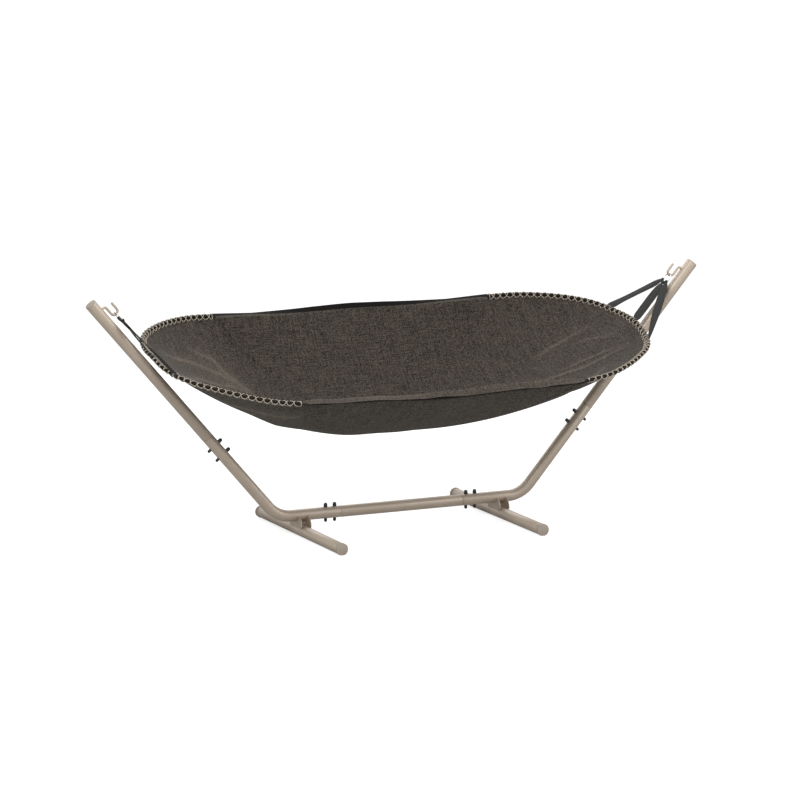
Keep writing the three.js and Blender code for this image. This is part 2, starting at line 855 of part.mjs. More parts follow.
// Strip one unit wide with an eye at each end, from the outlines of its first and last eye and the
// stations along its two faces; both faces are split along the same diagonals
function eyedStrip(firstArc, firstEye, lastArc, lastEye, lower, upper) {
  const outline = [...firstArc, ...lower, ...lastArc, ...[...upper].reverse()];
  const corners = [...outline, ...firstEye, ...lastEye];
  const half = 0.5;
  const below = (i) => i;
  const above = (i) => i + corners.length;
  const faces = [];
  const lid = (triangles) => triangles.forEach(([a, b, c]) =>
    faces.push([above(a), above(b), above(c)], [below(a), below(c), below(b)]));
  const eyeLid = (contour, hole) => {
    const points = [...contour, ...hole];
    const triangles = THREE.ShapeUtils.triangulateShape(contour, [hole]);
    lid(triangles.map((triangle) => triangle.map((k) => corners.indexOf(points[k]))));
  };
  eyeLid(firstArc, firstEye);
  eyeLid(lastArc, lastEye);
  const near = [firstArc.at(-1), ...lower, lastArc[0]].map((p) => corners.indexOf(p));
  const far = [firstArc[0], ...upper, lastArc.at(-1)].map((p) => corners.indexOf(p));
  for (let k = 0; k < near.length - 1; k += 1) {
    lid([[near[k], near[k + 1], far[k + 1]], [near[k], far[k + 1], far[k]]]);
  }
  const wall = (loop, inwards) => loop.forEach((point, k) => {
    const [from, to] = [point, loop[(k + 1) % loop.length]].map((p) => corners.indexOf(p));
    const [a, b] = inwards ? [to, from] : [from, to];
    const quad = (a === from) === point.y > 0
      ? [[below(a), below(b), above(a)], [below(b), above(b), above(a)]]
      : [[below(a), below(b), above(b)], [below(a), above(b), above(a)]];
    faces.push(...quad);
  });
  wall(outline, false);
  wall(firstEye, true);
  wall(lastEye, true);
  const layer = (z) => corners.map((p) => new THREE.Vector3(p.x, p.y, z));
  const geometry = new THREE.BufferGeometry().setFromPoints([...layer(-half), ...layer(half)]);
  geometry.setIndex(faces.flat());
  return closed(geometry);
}

// Strap: a doubled web with an eye round the ring's wire and an eye round the bow, which it
// leaves squarely until it is clear of the lacing; midway it lies in the fan but for its turn
function strap(ringEye, bowEye, fan, turn) {
  const span = bowEye.centre.clone().sub(ringEye.centre);
  const ringAlong = span.clone().addScaledVector(ringEye.axis, -span.dot(ringEye.axis)).normalize();
  const bowAlong = span.clone().addScaledVector(bowEye.axis, -span.dot(bowEye.axis)).normalize();
  const basis = (along, axis) => new THREE.Quaternion().setFromRotationMatrix(
    new THREE.Matrix4().makeBasis(along, new THREE.Vector3().crossVectors(axis, along), axis));
  const ringTurn = basis(ringAlong, ringEye.axis);
  const bowTurn = basis(bowAlong, bowEye.axis);
  const length = span.length();
  const straight = span.clone().normalize();
  const middleAxis = fan.clone().cross(straight).normalize().applyAxisAngle(straight, turn);
  const middleTurn = basis(straight, middleAxis);
  const turnAt = (share) => (share < 0.5 ? ringTurn.clone().slerp(middleTurn, share * 2)
    : middleTurn.clone().slerp(bowTurn, share * 2 - 1));
  const cornerShare = 1 / Math.cos(Math.PI / eyeSteps);
  const ringBore = ringEye.bore * cornerShare;
  const bowBore = bowEye.bore * cornerShare;
  const ringOuter = ringBore + webbingThickness;
  const bowOuter = bowBore + webbingThickness;
  const ringHalfAngle = Math.asin(webbingThickness / ringOuter);
  const bowHalfAngle = Math.asin(webbingThickness / bowOuter);
  const from = ringOuter * Math.cos(ringHalfAngle);
  const to = length - lacingOuterReach - 2 * cordRadius;
  const flat = (x, y) => new THREE.Vector2(x, y);
  const edge = strapWidthShares.slice(1).map(([place]) => from + (to - from) * place);
  const ringArc = arc([0, 0], ringOuter, ringHalfAngle, 2 * Math.PI - ringHalfAngle, eyeSteps, flat);
  const bowArc = arc([length, 0], bowOuter, bowHalfAngle - Math.PI, Math.PI - bowHalfAngle, eyeSteps, flat);
  const lower = edge.map((x) => flat(x, -webbingThickness));
  const upper = edge.map((x) => flat(x, webbingThickness));
  const eye = (x, bore) => roundOutline(bore, eyeSteps).map((p) => flat(p.x + x, p.y));
  const web = eyedStrip(ringArc, eye(0, ringBore), bowArc, eye(length, bowBore), lower, upper);
  const places = web.attributes.position;
  const start = ringEye.centre.clone().addScaledVector(ringAlong, from);
  const finish = bowEye.centre.clone().addScaledVector(bowAlong, to - length);
  for (let i = 0; i < places.count; i += 1) {
    const [x, y, z] = [places.getX(i), places.getY(i), places.getZ(i)];
    const share = THREE.MathUtils.clamp((x - from) / (to - from), 0, 1);
    const beyond = x < from ? x - from : Math.max(x - to, 0);
    const place = new THREE.Vector3(beyond, y, z * strapWidthAt(share))
      .applyQuaternion(turnAt(share))
      .add(start.clone().lerp(finish, share));
    places.setXYZ(i, place.x, place.y, place.z);
  }
  return closed(web);
}

// Build the stand
const stand = new THREE.Group();
const bed = new THREE.Group();
bed.position.set(bedShift, bedSetback, ringHeight - bedDrop);
bed.rotation.x = bedLean;
bed.updateMatrix();
const ringSag = ringRadius - Math.sqrt(ringRadius ** 2 - (strapWidthAt(0) / 2) ** 2);

stand.add(piece('spine_tube', spineTube().rotateY(Math.PI / 2).translate(0, 0, spineHeight), taupeCoat));

[['left', -1], ['right', 1]].forEach(([name, side]) => {
  const arm = armFrame(side);
  arm.add(piece(`${name}_upper_arm`, armTube(), taupeCoat));
  arm.add(piece(`${name}_arm_cap`, armCap(), taupePlastic));
  arm.add(piece(`${name}_hook`, hook(side), taupeCoat));
  arm.add(piece(`${name}_ring`, ring(side), brightSteel));
  armBoltDistances.forEach((distance, i) => {
    arm.add(fasteners(name, side, 'arm', armSeam - distance, i + 1));
  });
  stand.add(arm);

  const spineHalf = spineFrame(side);
  spineBoltDistances.forEach((distance, i) => {
    spineHalf.add(fasteners(name, side, 'spine', spineSeamReach + distance, i + 1));
  });
  stand.add(spineHalf);

  stand.add(piece(`${name}_bend_tube`, bendTube(side), taupeCoat));

  const foot = new THREE.Group();
  foot.position.set((side * footSpacing) / 2, 0, footAxisHeight);
  foot.add(piece(`${name}_foot_tube`, footTube(), taupeCoat));
  foot.add(piece(`${name}_front_foot_cap`, footCap(-1), taupePlastic));
  foot.add(piece(`${name}_rear_foot_cap`, footCap(1), taupePlastic));
  foot.add(piece(`${name}_foot_bracket`, bracket(), taupeCoat));
  stand.add(foot);

  const frames = rimStretches[name];
  const route = lacingRoute(frames);
  const selfGap = leastSelfGap(route, lacingLoopSteps / 2, cordRadius);
  console.log(`${name} lacing, least gap to itself: ${selfGap.toFixed(1)} mm`);
  bed.add(piece(`${name}_end_bow`, bow(frames), darkRod));
  bed.add(piece(`${name}_end_hem`, hem(frames, route), melangeCloth));
  bed.add(piece(`${name}_lacing_cord`, rod(route, cordRadius, cordSides), beigeCord));

  const middle = bowLength(frames) / 2;
  const armMatrix = arm.matrix;
  const across = new THREE.Vector3(0, 1, 0).transformDirection(bed.matrix);
  const fan = bowPlace(frames, middle).point.applyMatrix4(bed.matrix)
    .sub(ringCentre(side).applyMatrix4(armMatrix))
    .cross(across);
  [
    ['front', -1, frontStrapShift, frontStrapTurn],
    ['centre', 0, 0, centreStrapTurn],
    ['rear', 1, rearStrapShift, rearStrapTurn],
  ].forEach(([strapName, place, shift, turn]) => {
    const offset = place * (strapLoopOffset * lacingPitch(frames) + shift);
    const onBow = bowPlace(frames, middle - side * offset);
    const swing = place * strapRingSpread + strapRingLeanShare * bedLean;
    const ringPoint = ringCentre(side).add(
      new THREE.Vector3(0, Math.sin(swing), -Math.cos(swing)).multiplyScalar(ringRadius));
    const ringAxis = new THREE.Vector3(0, Math.cos(swing), Math.sin(swing));
    const bowAxis = onBow.along.clone().transformDirection(bed.matrix);
    const ringEye = {
      centre: ringPoint.applyMatrix4(armMatrix),
      axis: ringAxis.transformDirection(armMatrix),
      bore: ringWireRadius + ringSag + seatGap,
    };
    const bowEye = {
      centre: onBow.point.applyMatrix4(bed.matrix),
      axis: bowAxis.dot(ringEye.axis) < 0 ? bowAxis.negate() : bowAxis,
      bore: bowRadius + seatGap,
    };
    const web = strap(ringEye, bowEye, fan, side * turn);
    stand.add(piece(`${name}_${strapName}_strap`, web, greyWebbing));
  });
});

bed.add(piece('front_side_band', sideBand(frontSide, frontBandTilts), blackWebbing));
bed.add(piece('rear_side_band', sideBand(rearSide, rearBandTilts), blackWebbing));
bed.add(piece('hammock_cloth', cloth(), melangeCloth));

// The origin is under the middle of the whole hammock, on the floor
const hammock = new THREE.Group();
hammock.add(stand, bed);
const box = new THREE.Box3().setFromObject(hammock, true);
const middle = box.getCenter(new THREE.Vector3());
hammock.position.set(-middle.x, -middle.y, -box.min.z);

export default hammock;
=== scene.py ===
# Hammock on a tube stand, seen and finished as the real one: a deep cloth bed laced to two curved
# bows, bound with webbing along its sides and hung by straps and rings from two hooked arms.
# Metres, +Z up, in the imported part's own frame; X runs along the bed and -Y is the near side.

import math

import bmesh
import bpy
import numpy as np
from mathutils import Matrix, Vector


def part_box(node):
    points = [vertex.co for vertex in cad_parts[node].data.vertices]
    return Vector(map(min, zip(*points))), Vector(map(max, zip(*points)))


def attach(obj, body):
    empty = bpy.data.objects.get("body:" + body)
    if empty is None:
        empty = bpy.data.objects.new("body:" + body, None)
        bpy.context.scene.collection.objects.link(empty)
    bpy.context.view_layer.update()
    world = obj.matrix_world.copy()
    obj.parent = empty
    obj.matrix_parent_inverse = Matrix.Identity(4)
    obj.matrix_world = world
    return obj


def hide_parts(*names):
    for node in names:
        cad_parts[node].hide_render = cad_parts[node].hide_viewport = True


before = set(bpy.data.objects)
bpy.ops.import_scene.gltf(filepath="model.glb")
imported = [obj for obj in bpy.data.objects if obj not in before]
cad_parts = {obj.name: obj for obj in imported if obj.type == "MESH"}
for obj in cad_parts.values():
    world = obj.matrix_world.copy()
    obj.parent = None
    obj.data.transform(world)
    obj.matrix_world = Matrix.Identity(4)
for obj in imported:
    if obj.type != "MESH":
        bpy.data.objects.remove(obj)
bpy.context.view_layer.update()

# Viewpoint. A long lens stands far off and low, turned from the near side towards the left end
# by about a quarter of a right angle.
view_turn = math.radians(24.84)
view_height = math.radians(10.2)
view_distance = 19.094
view_target = Vector((-0.0027, 0.0188, 0.5659))

to_camera = Vector((
    -math.sin(view_turn) * math.cos(view_height),
    -math.cos(view_turn) * math.cos(view_height),
    math.sin(view_height),
))
camera_right = Vector((math.cos(view_turn), -math.sin(view_turn), 0))
camera_up = to_camera.cross(camera_right)
camera = bpy.data.objects.new("camera", bpy.data.cameras.new("camera"))
camera.data.sensor_width = 36
camera.data.lens = 195.9
camera.data.clip_end = 100
camera.matrix_world = (
    Matrix.Translation(view_target + view_distance * to_camera)
    @ Matrix((camera_right, camera_up, to_camera)).transposed().to_4x4()
)
bpy.context.collection.objects.link(camera)
bpy.context.scene.camera = camera
bpy.context.scene.view_settings.view_transform = "Standard"

# Stand tubes. Round steel tube, powder coated in a soft taupe, bent at the two lower corners and
# plugged together: the spine and the arms are drawn down at their ends and slide into the bends.
tube_radius = 0.0254
tube_wall = 0.002
plug_radius = 0.0231
seam_gap = 0.0003
joint_gap = 0.0014
edge_round = 0.0013
foot_axis = 0.026
spine_height = 0.0933
stand_y = np.mean(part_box("spine_tube"), axis=0)[1]
bend_reach = 0.5914
bend_radius = 0.14
arm_degrees = 49.3
arm_angle = math.radians(arm_degrees)
arm_length = (1.446 - bend_reach) / math.cos(arm_angle)
arm_seam = (0.9166 - bend_reach) / math.cos(arm_angle)
arm_cap = 0.003
spine_seam = 0.2935
arm_plug = 0.14
spine_plug = 0.092
hands = ((-1, "left"), (1, "right"))


def socket(tree, name, kind, way="INPUT"):
    return tree.interface.new_socket(name, in_out=way, socket_type=f"NodeSocket{kind}").identifier


def wire(tree, *joins):
    """Links in a tree of nodes, each from a node's output to another's input."""
    for source, output, sink, entry in joins:
        tree.links.new(source.outputs[output], sink.inputs[entry])


def dial(node, **values):
    """Inputs of a node, their names underscored, set to values or joined to other nodes' outputs."""
    for entry, value in values.items():
        target = node.inputs[entry.replace("_", " ")]
        if isinstance(value, bpy.types.NodeSocket):
            node.id_data.links.new(value, target)
        else:
            target.default_value = value


def rod_tree():
    tree = bpy.data.node_groups.new("round rod along a line", "GeometryNodeTree")
    socket(tree, "Rod", "Geometry", way="OUTPUT")
    socket(tree, "Line", "Geometry")
    keys = {
        "sides": socket(tree, "Sides", "Int"),
        "lids": socket(tree, "Lids", "Bool"),
        "material": socket(tree, "Material", "Material"),
    }
    new = tree.nodes.new
    start, end = new("NodeGroupInput"), new("NodeGroupOutput")
    curve, mesh = new("GeometryNodeMeshToCurve"), new("GeometryNodeCurveToMesh")
    ring, thick = new("GeometryNodeCurvePrimitiveCircle"), new("GeometryNodeInputNamedAttribute")
    smooth, whole = new("GeometryNodeSetShadeSmooth"), new("GeometryNodeRealizeInstances")
    dress = new("GeometryNodeSetMaterial")
    thick.data_type = "FLOAT"
    dial(thick, Name="thick")
    dial(ring, Radius=1)
    wire(
        tree,
        (start, "Line", curve, "Mesh"), (curve, "Curve", mesh, "Curve"),
        (start, "Sides", ring, "Resolution"), (ring, "Curve", mesh, "Profile Curve"),
        (thick, "Attribute", mesh, "Scale"), (start, "Lids", mesh, "Fill Caps"),
        (mesh, "Mesh", smooth, "Geometry"), (smooth, "Geometry", whole, "Geometry"),
        (whole, "Geometry", dress, "Geometry"), (start, "Material", dress, "Material"),
        (dress, "Geometry", end, "Rod"),
    )
    return tree, keys


rods, rod_keys = rod_tree()


def mesh_of(name, points, edges, faces, *materials):
    mesh = bpy.data.meshes.new(name)
    mesh.from_pydata([tuple(p) for p in points], edges, faces)
    for material in materials:
        mesh.materials.append(material)
    return mesh


def show(name, mesh):
    piece = bpy.data.objects.new(name, mesh)
    bpy.context.collection.objects.link(piece)
    return piece


def settled(piece, crease=40):
    """The piece with its modifiers made into a plain mesh, smooth but for its creases."""
    bpy.context.view_layer.update()
    solid = piece.evaluated_get(bpy.context.evaluated_depsgraph_get())
    mesh = bpy.data.meshes.new_from_object(solid)
    line = piece.data
    piece.modifiers.clear()
    piece.data = mesh
    mesh.name = piece.name
    bpy.data.meshes.remove(line)
    mesh.set_sharp_from_angle(angle=math.radians(crease))
    return piece


def rod(name, points, radii, material, sides=48, closed=False, lids=True):
    """Round bar or tube skin along the points, as thick at each as its radius says."""
    count = len(points)
    edges = [(i, i + 1) for i in range(count - 1)] + ([(count - 1, 0)] if closed else [])
    line = mesh_of(name, points, edges, [])
    thick = line.attributes.new("thick", "FLOAT", "POINT")
    thick.data.foreach_set("value", np.broadcast_to(radii, count).astype(np.float32))
    piece = show(name, line)
    nodes = piece.modifiers.new("rod", "NODES")
    nodes.node_group = rods
    nodes[rod_keys["sides"]] = sides
    nodes[rod_keys["lids"]] = lids
    nodes[rod_keys["material"]] = material
    return settled(piece)


def paint(name, colour, roughness, metallic=0.0):
    """A material to build on: its tree, its surface and the place on the piece, all in hand."""
    material = bpy.data.materials.new(name)
    material.use_nodes = True
    tree = material.node_tree
    surface = tree.nodes["Principled BSDF"]
    dial(surface, Base_Color=(*colour, 1), Roughness=roughness, Metallic=metallic)
    place = tree.nodes.new("ShaderNodeTexCoord").outputs["Object"]
    return material, tree, surface, place


def speckle(tree, place, scale, detail, roughness=0.6, stretch=(1, 1, 1)):
    """Noise of the given grain over the piece, stretched if asked."""
    mapping, noise = tree.nodes.new("ShaderNodeMapping"), tree.nodes.new("ShaderNodeTexNoise")
    dial(mapping, Scale=stretch, Vector=place)
    dial(noise, Scale=scale, Detail=detail, Roughness=roughness, Vector=mapping.outputs["Vector"])
    return noise.outputs["Fac"]


def ramp(tree, value, stops):
    """Colours along a value, from (place, colour) stops."""
    node = tree.nodes.new("ShaderNodeValToRGB")
    bar = node.color_ramp
    while len(bar.elements) < len(stops):
        bar.elements.new(0.5)
    for element, (place, colour) in zip(bar.elements, stops):
        element.position = place
        element.color = (*colour, 1)
    dial(node, Fac=value)
    return node.outputs["Color"]


def emboss(tree, surface, height, strength, distance):
    """Bump of the surface from a height, in metres at full strength."""
    bump = tree.nodes.new("ShaderNodeBump")
    dial(bump, Strength=strength, Distance=distance, Height=height)
    dial(surface, Normal=bump.outputs["Normal"])


def finish(name, colour, roughness, metallic, grain, drift=None, **values):
    """A material with a fine grain on its surface and, if asked, a drift between two shades."""
    material, tree, surface, place = paint(name, colour, roughness, metallic)
    if drift:
        scale, spread, dark, light = drift
        stops = [(0.5 - spread, dark), (0.5 + spread, light)]
        dial(surface, Base_Color=ramp(tree, speckle(tree, place, scale, 3), stops))
    scale, detail, strength, depth = grain
    emboss(tree, surface, speckle(tree, place, scale, detail), strength, depth)
    dial(surface, **values)
    return material


taupe_coat = finish(
    "taupe powder coat", (0.43, 0.36, 0.29), 0.42, 0.2,
    grain=(900, 2, 0.12, 0.0004),
    drift=(9, 0.2, (0.455, 0.377, 0.297), (0.51, 0.424, 0.337)),
    Coat_Weight=0.15,
    Coat_Roughness=0.3,
)


def along_arm(side, out, up):
    """Place in one arm's own frame: out from its axis on the upper side, and up along it."""
    return Vector((
        side * (bend_reach + up * math.cos(arm_angle) - out * math.sin(arm_angle)),
        stand_y,
        spine_height + up * math.sin(arm_angle) + out * math.cos(arm_angle),
    ))


def arc(middle, radius, first, last, steps):
    """Points round part of a circle, from one angle to another, both in degrees."""
    turns = [math.radians(first + (last - first) * i / steps) for i in range(steps + 1)]
    return [(middle[0] + radius * math.cos(a), middle[1] + radius * math.sin(a)) for a in turns]


def stepped(profile, place):
    """Points and radii of a straight tube from its (distance, radius) steps."""
    return [place(distance) for distance, _ in profile], [radius for _, radius in profile]


def tube_end(distance, inward, plug=False):
    """The rounded edge of a tube's end, from its mouth to its full radius."""
    first = plug_radius if plug else tube_radius - tube_wall
    return [
        (distance, first),
        (distance + inward * 1e-6, tube_radius - edge_round),
        (distance + inward * 0.3 * edge_round, tube_radius - 0.35 * edge_round),
        (distance + inward * edge_round, tube_radius),
    ]


spine_profile = [
    (-spine_seam - spine_plug, plug_radius),
    *tube_end(-spine_seam, 1, True),
    *reversed(tube_end(spine_seam, -1, True)),
    (spine_seam + spine_plug, plug_radius),
]
steps = stepped(spine_profile, lambda x: Vector((x, stand_y, spine_height)))
spine = rod("spine_tube_coated", *steps, taupe_coat, sides=64)
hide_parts("spine_tube")
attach(spine, "stand")

for side, hand in hands:
    corner = bend_reach - bend_radius * math.tan(arm_angle / 2)
    curve = arc((corner, spine_height + bend_radius), bend_radius, -90, arm_degrees - 90, 32)
    first = [
        (Vector((side * x, stand_y, spine_height)), r) for x, r in tube_end(spine_seam + joint_gap, 1)
    ]
    middle = [(Vector((side * x, stand_y, z)), tube_radius) for x, z in curve]
    last = [(along_arm(side, 0, up), r) for up, r in reversed(tube_end(arm_seam - joint_gap, -1))]
    steps = zip(*(first + middle + last))
    bend = rod(f"{hand}_bend_tube_coated", *steps, taupe_coat, sides=64, lids=False)
    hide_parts(f"{hand}_bend_tube")
    arm_profile = [
        (arm_seam - arm_plug, plug_radius),
        *tube_end(arm_seam, 1, True),
        (arm_length - arm_cap, tube_radius),
    ]
    steps = stepped(arm_profile, lambda up: along_arm(side, 0, up))
    arm = rod(f"{hand}_upper_arm_coated", *steps, taupe_coat, sides=64)
    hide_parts(f"{hand}_upper_arm")
    for piece in (bend, arm):
        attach(piece, "stand")

# Closing caps. Moulded plastic plugs in the tube's colour: a low dome on each arm, and a wider
# shoe with a shallow dome on each end of the two feet, flattened where it meets the floor.
cap_dome = 0.003
dome_edge = 0.0012
dome_steps = 10
foot_reach = 0.45
foot_cap_radius = 0.027
foot_cap_collar = 0.014
foot_cap_edge = 0.0008

taupe_plastic = finish(
    "taupe plastic", (0.37, 0.315, 0.255), 0.5, 0,
    grain=(1500, 2, 0.2, 0.0002),
    drift=(14, 0.2, (0.35, 0.295, 0.24), (0.4, 0.34, 0.28)),
)


def dome(distance, height, radius):
    """Steps of a low rounded lid that ends at a distance, its edge turned over softly."""
    lid = arc((distance - height - dome_edge, radius - dome_edge), dome_edge, 90, 0, dome_steps)
    for i in range(1, dome_steps + 1):
        share = 1 - i / dome_steps
        lid.append((distance - height * share ** 2, max((radius - dome_edge) * share, 1e-5)))
    return lid


for side, hand in hands:
    profile = [
        (arm_length - arm_cap + seam_gap, tube_radius),
        *dome(arm_length + cap_dome, cap_dome, tube_radius),
    ]
    steps = stepped(profile, lambda up: along_arm(side, 0, up))
    cap = rod(f"{hand}_arm_cap_moulded", *steps, taupe_plastic)
    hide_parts(f"{hand}_arm_cap")
    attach(cap, "stand")
    foot_x = np.mean(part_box(f"{hand}_foot_tube"), axis=0)[0]
    half = foot_reach - cap_dome - foot_cap_collar - seam_gap
    profile = [*tube_end(-half, 1), *reversed(tube_end(half, -1))]
    steps = stepped(profile, lambda y: Vector((foot_x, stand_y + y, foot_axis)))
    foot = rod(f"{hand}_foot_tube_coated", *steps, taupe_coat, sides=64)
    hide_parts(f"{hand}_foot_tube")
    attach(foot, "stand")
    for end, way in ((-1, "front"), (1, "rear")):
        start = foot_reach - cap_dome - foot_cap_collar
        profile = [
            (start, tube_radius - tube_wall),
            (start + 1e-6, foot_cap_radius - foot_cap_edge),
            (start + foot_cap_edge, foot_cap_radius),
            *dome(foot_reach, cap_dome, foot_cap_radius),
        ]
        steps = stepped(profile, lambda y: Vector((foot_x, stand_y + end * y, foot_axis)))
        shoe = rod(f"{hand}_{way}_foot_cap_moulded", *steps, taupe_plastic)
        for vertex in shoe.data.vertices:
            vertex.co.z = max(vertex.co.z, 0)
        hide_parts(f"{hand}_{way}_foot_cap")
        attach(shoe, "stand")

# Foot brackets. Two steel plates and a short web between them, coated with the tubes, saddle the
# spine on each foot; their outer edges bulge.
for _, hand in hands:
    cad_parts[f"{hand}_foot_bracket"].material_slots[0].material = taupe_coat

# Bolts. Each joint of the tubes has two black bolts through it, their heads under black plastic
# bullets below and their nuts under wider ones on the upper side.
cover_radius = 0.0068
cover_height = 0.016
nut_radius = 0.0084
nut_height = 0.0185
bullet_edge = 0.0004
bullet_steps = 12
arm_bolts = (0.052, 0.108)
spine_bolts = (0.025, 0.068)

black_plastic = finish("black plastic", (0.012, 0.012, 0.012), 0.32, 0, grain=(1200, 2, 0.15, 0.0002))
black_steel = finish("black bolt steel", (0.03, 0.03, 0.03), 0.35, 0.8, grain=(2500, 2, 0.1, 0.0001))


def bullet(radius, height):
    """Steps of a bullet-shaped cover: a straight skirt, then a rounded nose."""
    skirt = [(0, radius * 0.9), (bullet_edge, radius), (height * 0.5, radius)]
    nose = []
    for i in range(1, bullet_steps + 1):
        a = i / bullet_steps * math.pi / 2
        nose.append((height * (0.5 + 0.5 * math.sin(a)), max(radius * math.cos(a) ** 0.8, 1e-5)))
    return skirt + nose


for side, hand in hands:
    arm_out = (along_arm(side, 1, 0) - along_arm(side, 0, 0)).normalized()
    seats = [
        (f"{hand}_arm", i, along_arm(side, 0, arm_seam - down), arm_out)
        for i, down in enumerate(arm_bolts, 1)
    ]
    up = Vector((0, 0, 1))
    seats += [
        (f"{hand}_spine", i, Vector((side * (spine_seam + out), stand_y, spine_height)), up)
        for i, out in enumerate(spine_bolts, 1)
    ]
    for stem, number, seat, out in seats:
        for kind, radius, height, way in (
            ("cap_nut", nut_radius, nut_height, 1),
            ("head_cover", cover_radius, cover_height, -1),
        ):
            start = tube_radius + seam_gap
            steps = stepped(bullet(radius, height), lambda t: seat + way * (start + t) * out)
            cover = rod(f"{stem}_{kind}_{number}_moulded", *steps, black_plastic, sides=32)
            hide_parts(f"{stem}_{kind}_{number}")
            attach(cover, "stand")
        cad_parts[f"{stem}_bolt_{number}"].material_slots[0].material = black_steel

# Hooks. One bent round bar is welded under the top of each arm, coated with it.
hook_radius = 0.0055
hook_root = 0.055
hook_leg = 0.0405
hook_corner = 0.009
hook_turn = 0.016
hook_turn_drop = 0.098
hook_tip = 0.063
hook_sunk = 0.001
hook_point = [(0.0015, 1), (0.0004, 0.93), (0, 0.75)]

for side, hand in hands:
    outline = [
        (tube_radius - hook_sunk, hook_root),
        *arc((hook_leg - hook_corner, hook_root + hook_corner), hook_corner, -90, 0, 12),
        *arc((hook_leg + hook_turn, hook_turn_drop), hook_turn, 180, 0, 32),
    ]
    radii = [hook_radius] * len(outline) + [hook_radius * share for _, share in hook_point]
    outline += [(hook_leg + 2 * hook_turn, hook_tip + short) for short, _ in hook_point]
    bar = [along_arm(side, out, arm_length - drop) for out, drop in outline]
    hook = rod(f"{hand}_hook_coated", bar, radii, taupe_coat, sides=32)
    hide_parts(f"{hand}_hook")
    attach(hook, "stand")

# Rings. Bright welded steel, hanging in the hooks; they belong to the bed and swing with it.
ring_radius = 0.026
ring_wire = 0.003
ring_drop = hook_turn_drop + hook_turn - hook_radius - ring_wire - seam_gap + ring_radius
ring_steps = 72

bright_steel = finish(
    "bright steel", (0.72, 0.73, 0.74), 0.16, 1,
    grain=(1800, 2, 0.08, 0.0001),
    drift=(60, 0.2, (0.62, 0.63, 0.64), (0.8, 0.81, 0.82)),
)
ring_centres = {}

for side, hand in hands:
    centre = along_arm(side, hook_leg + hook_turn, arm_length - ring_drop)
    down = (along_arm(side, 0, 0) - along_arm(side, 0, 1)).normalized()
    ring_centres[side] = (centre, down)
    turns = [2 * math.pi * i / ring_steps for i in range(ring_steps)]
    loop = [centre + ring_radius * (math.cos(a) * down + Vector((0, math.sin(a), 0))) for a in turns]
    ring = rod(f"{hand}_ring_bright", loop, ring_wire, bright_steel, sides=24, closed=True)
    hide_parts(f"{hand}_ring")
    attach(ring, "bed")

# Rim of the bed. A curve that nothing is made of: the bows, bands, hems and the cloth's edge all
# follow it. It is laid out flat, a quarter at a time, then leant to the near side with the bed.
rim_half_length = 1.157
rim_half_width = 0.536
rim_end_rise = 0.062
rim_quarter = [
    (0, 1, 0), (0.13, 0.986, 0), (0.258, 0.964, 0.03), (0.4, 0.957, 0.09), (0.586, 0.944, 0.25),
    (0.692, 0.901, 0.41), (0.793, 0.793, 0.6), (0.87, 0.668, 0.73), (0.93, 0.537, 0.79),
    (0.967, 0.4, 0.81), (0.988, 0.265, 0.84), (0.999, 0.132, 0.92), (1, 0, 1),
]
bow_start = 4
bed_shift = -0.02
bed_setback = -0.0155 + stand_y
bed_rise = foot_axis + 0.7608
bed_lean = math.radians(13.2)
hollow_depth = 0.357
hollow_shift = -0.06
side_power = 1.7
end_power = 1.8
end_rise_power = 2.86
rim_samples = 1440
stretch_samples = 1201
slope_probe = 0.024


def hung(points):
    """Places of the bed laid flat, put where the bed hangs."""
    p = np.atleast_2d(points)
    c, s = math.cos(bed_lean), math.sin(bed_lean)
    return np.stack([
        p[:, 0] + bed_shift,
        p[:, 1] * c - p[:, 2] * s + bed_setback,
        p[:, 1] * s + p[:, 2] * c + bed_rise,
    ], axis=1)


quarter = np.array(rim_quarter) * (rim_half_length, rim_half_width, rim_end_rise)
rim_points = np.concatenate([
    quarter,
    (quarter[::-1] * (1, -1, 1))[1:],
    (quarter * (-1, -1, 1))[1:],
    (quarter[::-1] * (-1, 1, 1))[1:-1],
])
rim_count = len(rim_points)
rim_half = rim_count // 2


def rim_at(places):
    """Rim points at places counted in its control points, on a smooth closed curve."""
    places = np.asarray(places, float) % rim_count
    index = np.floor(places).astype(int)
    share = (places - index)[:, None]
    p = [rim_points[(index + k) % rim_count] for k in (-1, 0, 1, 2)]
    d = [np.maximum(np.linalg.norm(p[k + 1] - p[k], axis=1), 1e-9)[:, None] ** 0.5 for k in range(3)]
    t1 = ((p[1] - p[0]) / d[0] - (p[2] - p[0]) / (d[0] + d[1]) + (p[2] - p[1]) / d[1]) * d[1]
    t2 = ((p[2] - p[1]) / d[1] - (p[3] - p[1]) / (d[1] + d[2]) + (p[3] - p[2]) / d[2]) * d[1]
    c2 = -3 * p[1] + 3 * p[2] - 2 * t1 - t2
    c3 = 2 * p[1] - 2 * p[2] + t1 + t2
    return p[1] + t1 * share + c2 * share ** 2 + c3 * share ** 3


rim_fine = rim_at(np.arange(rim_samples) * rim_count / rim_samples)
rim_angles = np.arctan2(rim_fine[:, 1], rim_fine[:, 0] - hollow_shift)
rim_order = np.argsort(rim_angles)
rim_angles = rim_angles[rim_order]
rim_reaches = np.hypot(rim_fine[:, 0] - hollow_shift, rim_fine[:, 1])[rim_order]
rim_rises = rim_fine[:, 2][rim_order]


def hollow(x, y):
    """Height of the cloth over the plane of the rim, at a place in that plane."""
    along = x - hollow_shift
    angle = np.arctan2(y, along)
    reach = np.interp(angle, rim_angles, rim_reaches, period=2 * math.pi)
    rise = np.interp(angle, rim_angles, rim_rises, period=2 * math.pi)
    share = np.hypot(along, y) / reach
    turn = np.arctan2(np.abs(along) / rim_half_length, np.abs(y) / rim_half_width)
    power = side_power + (end_power - side_power) * np.sin(turn) ** 2
    return rise * share ** end_rise_power - hollow_depth * (1 - share ** power)


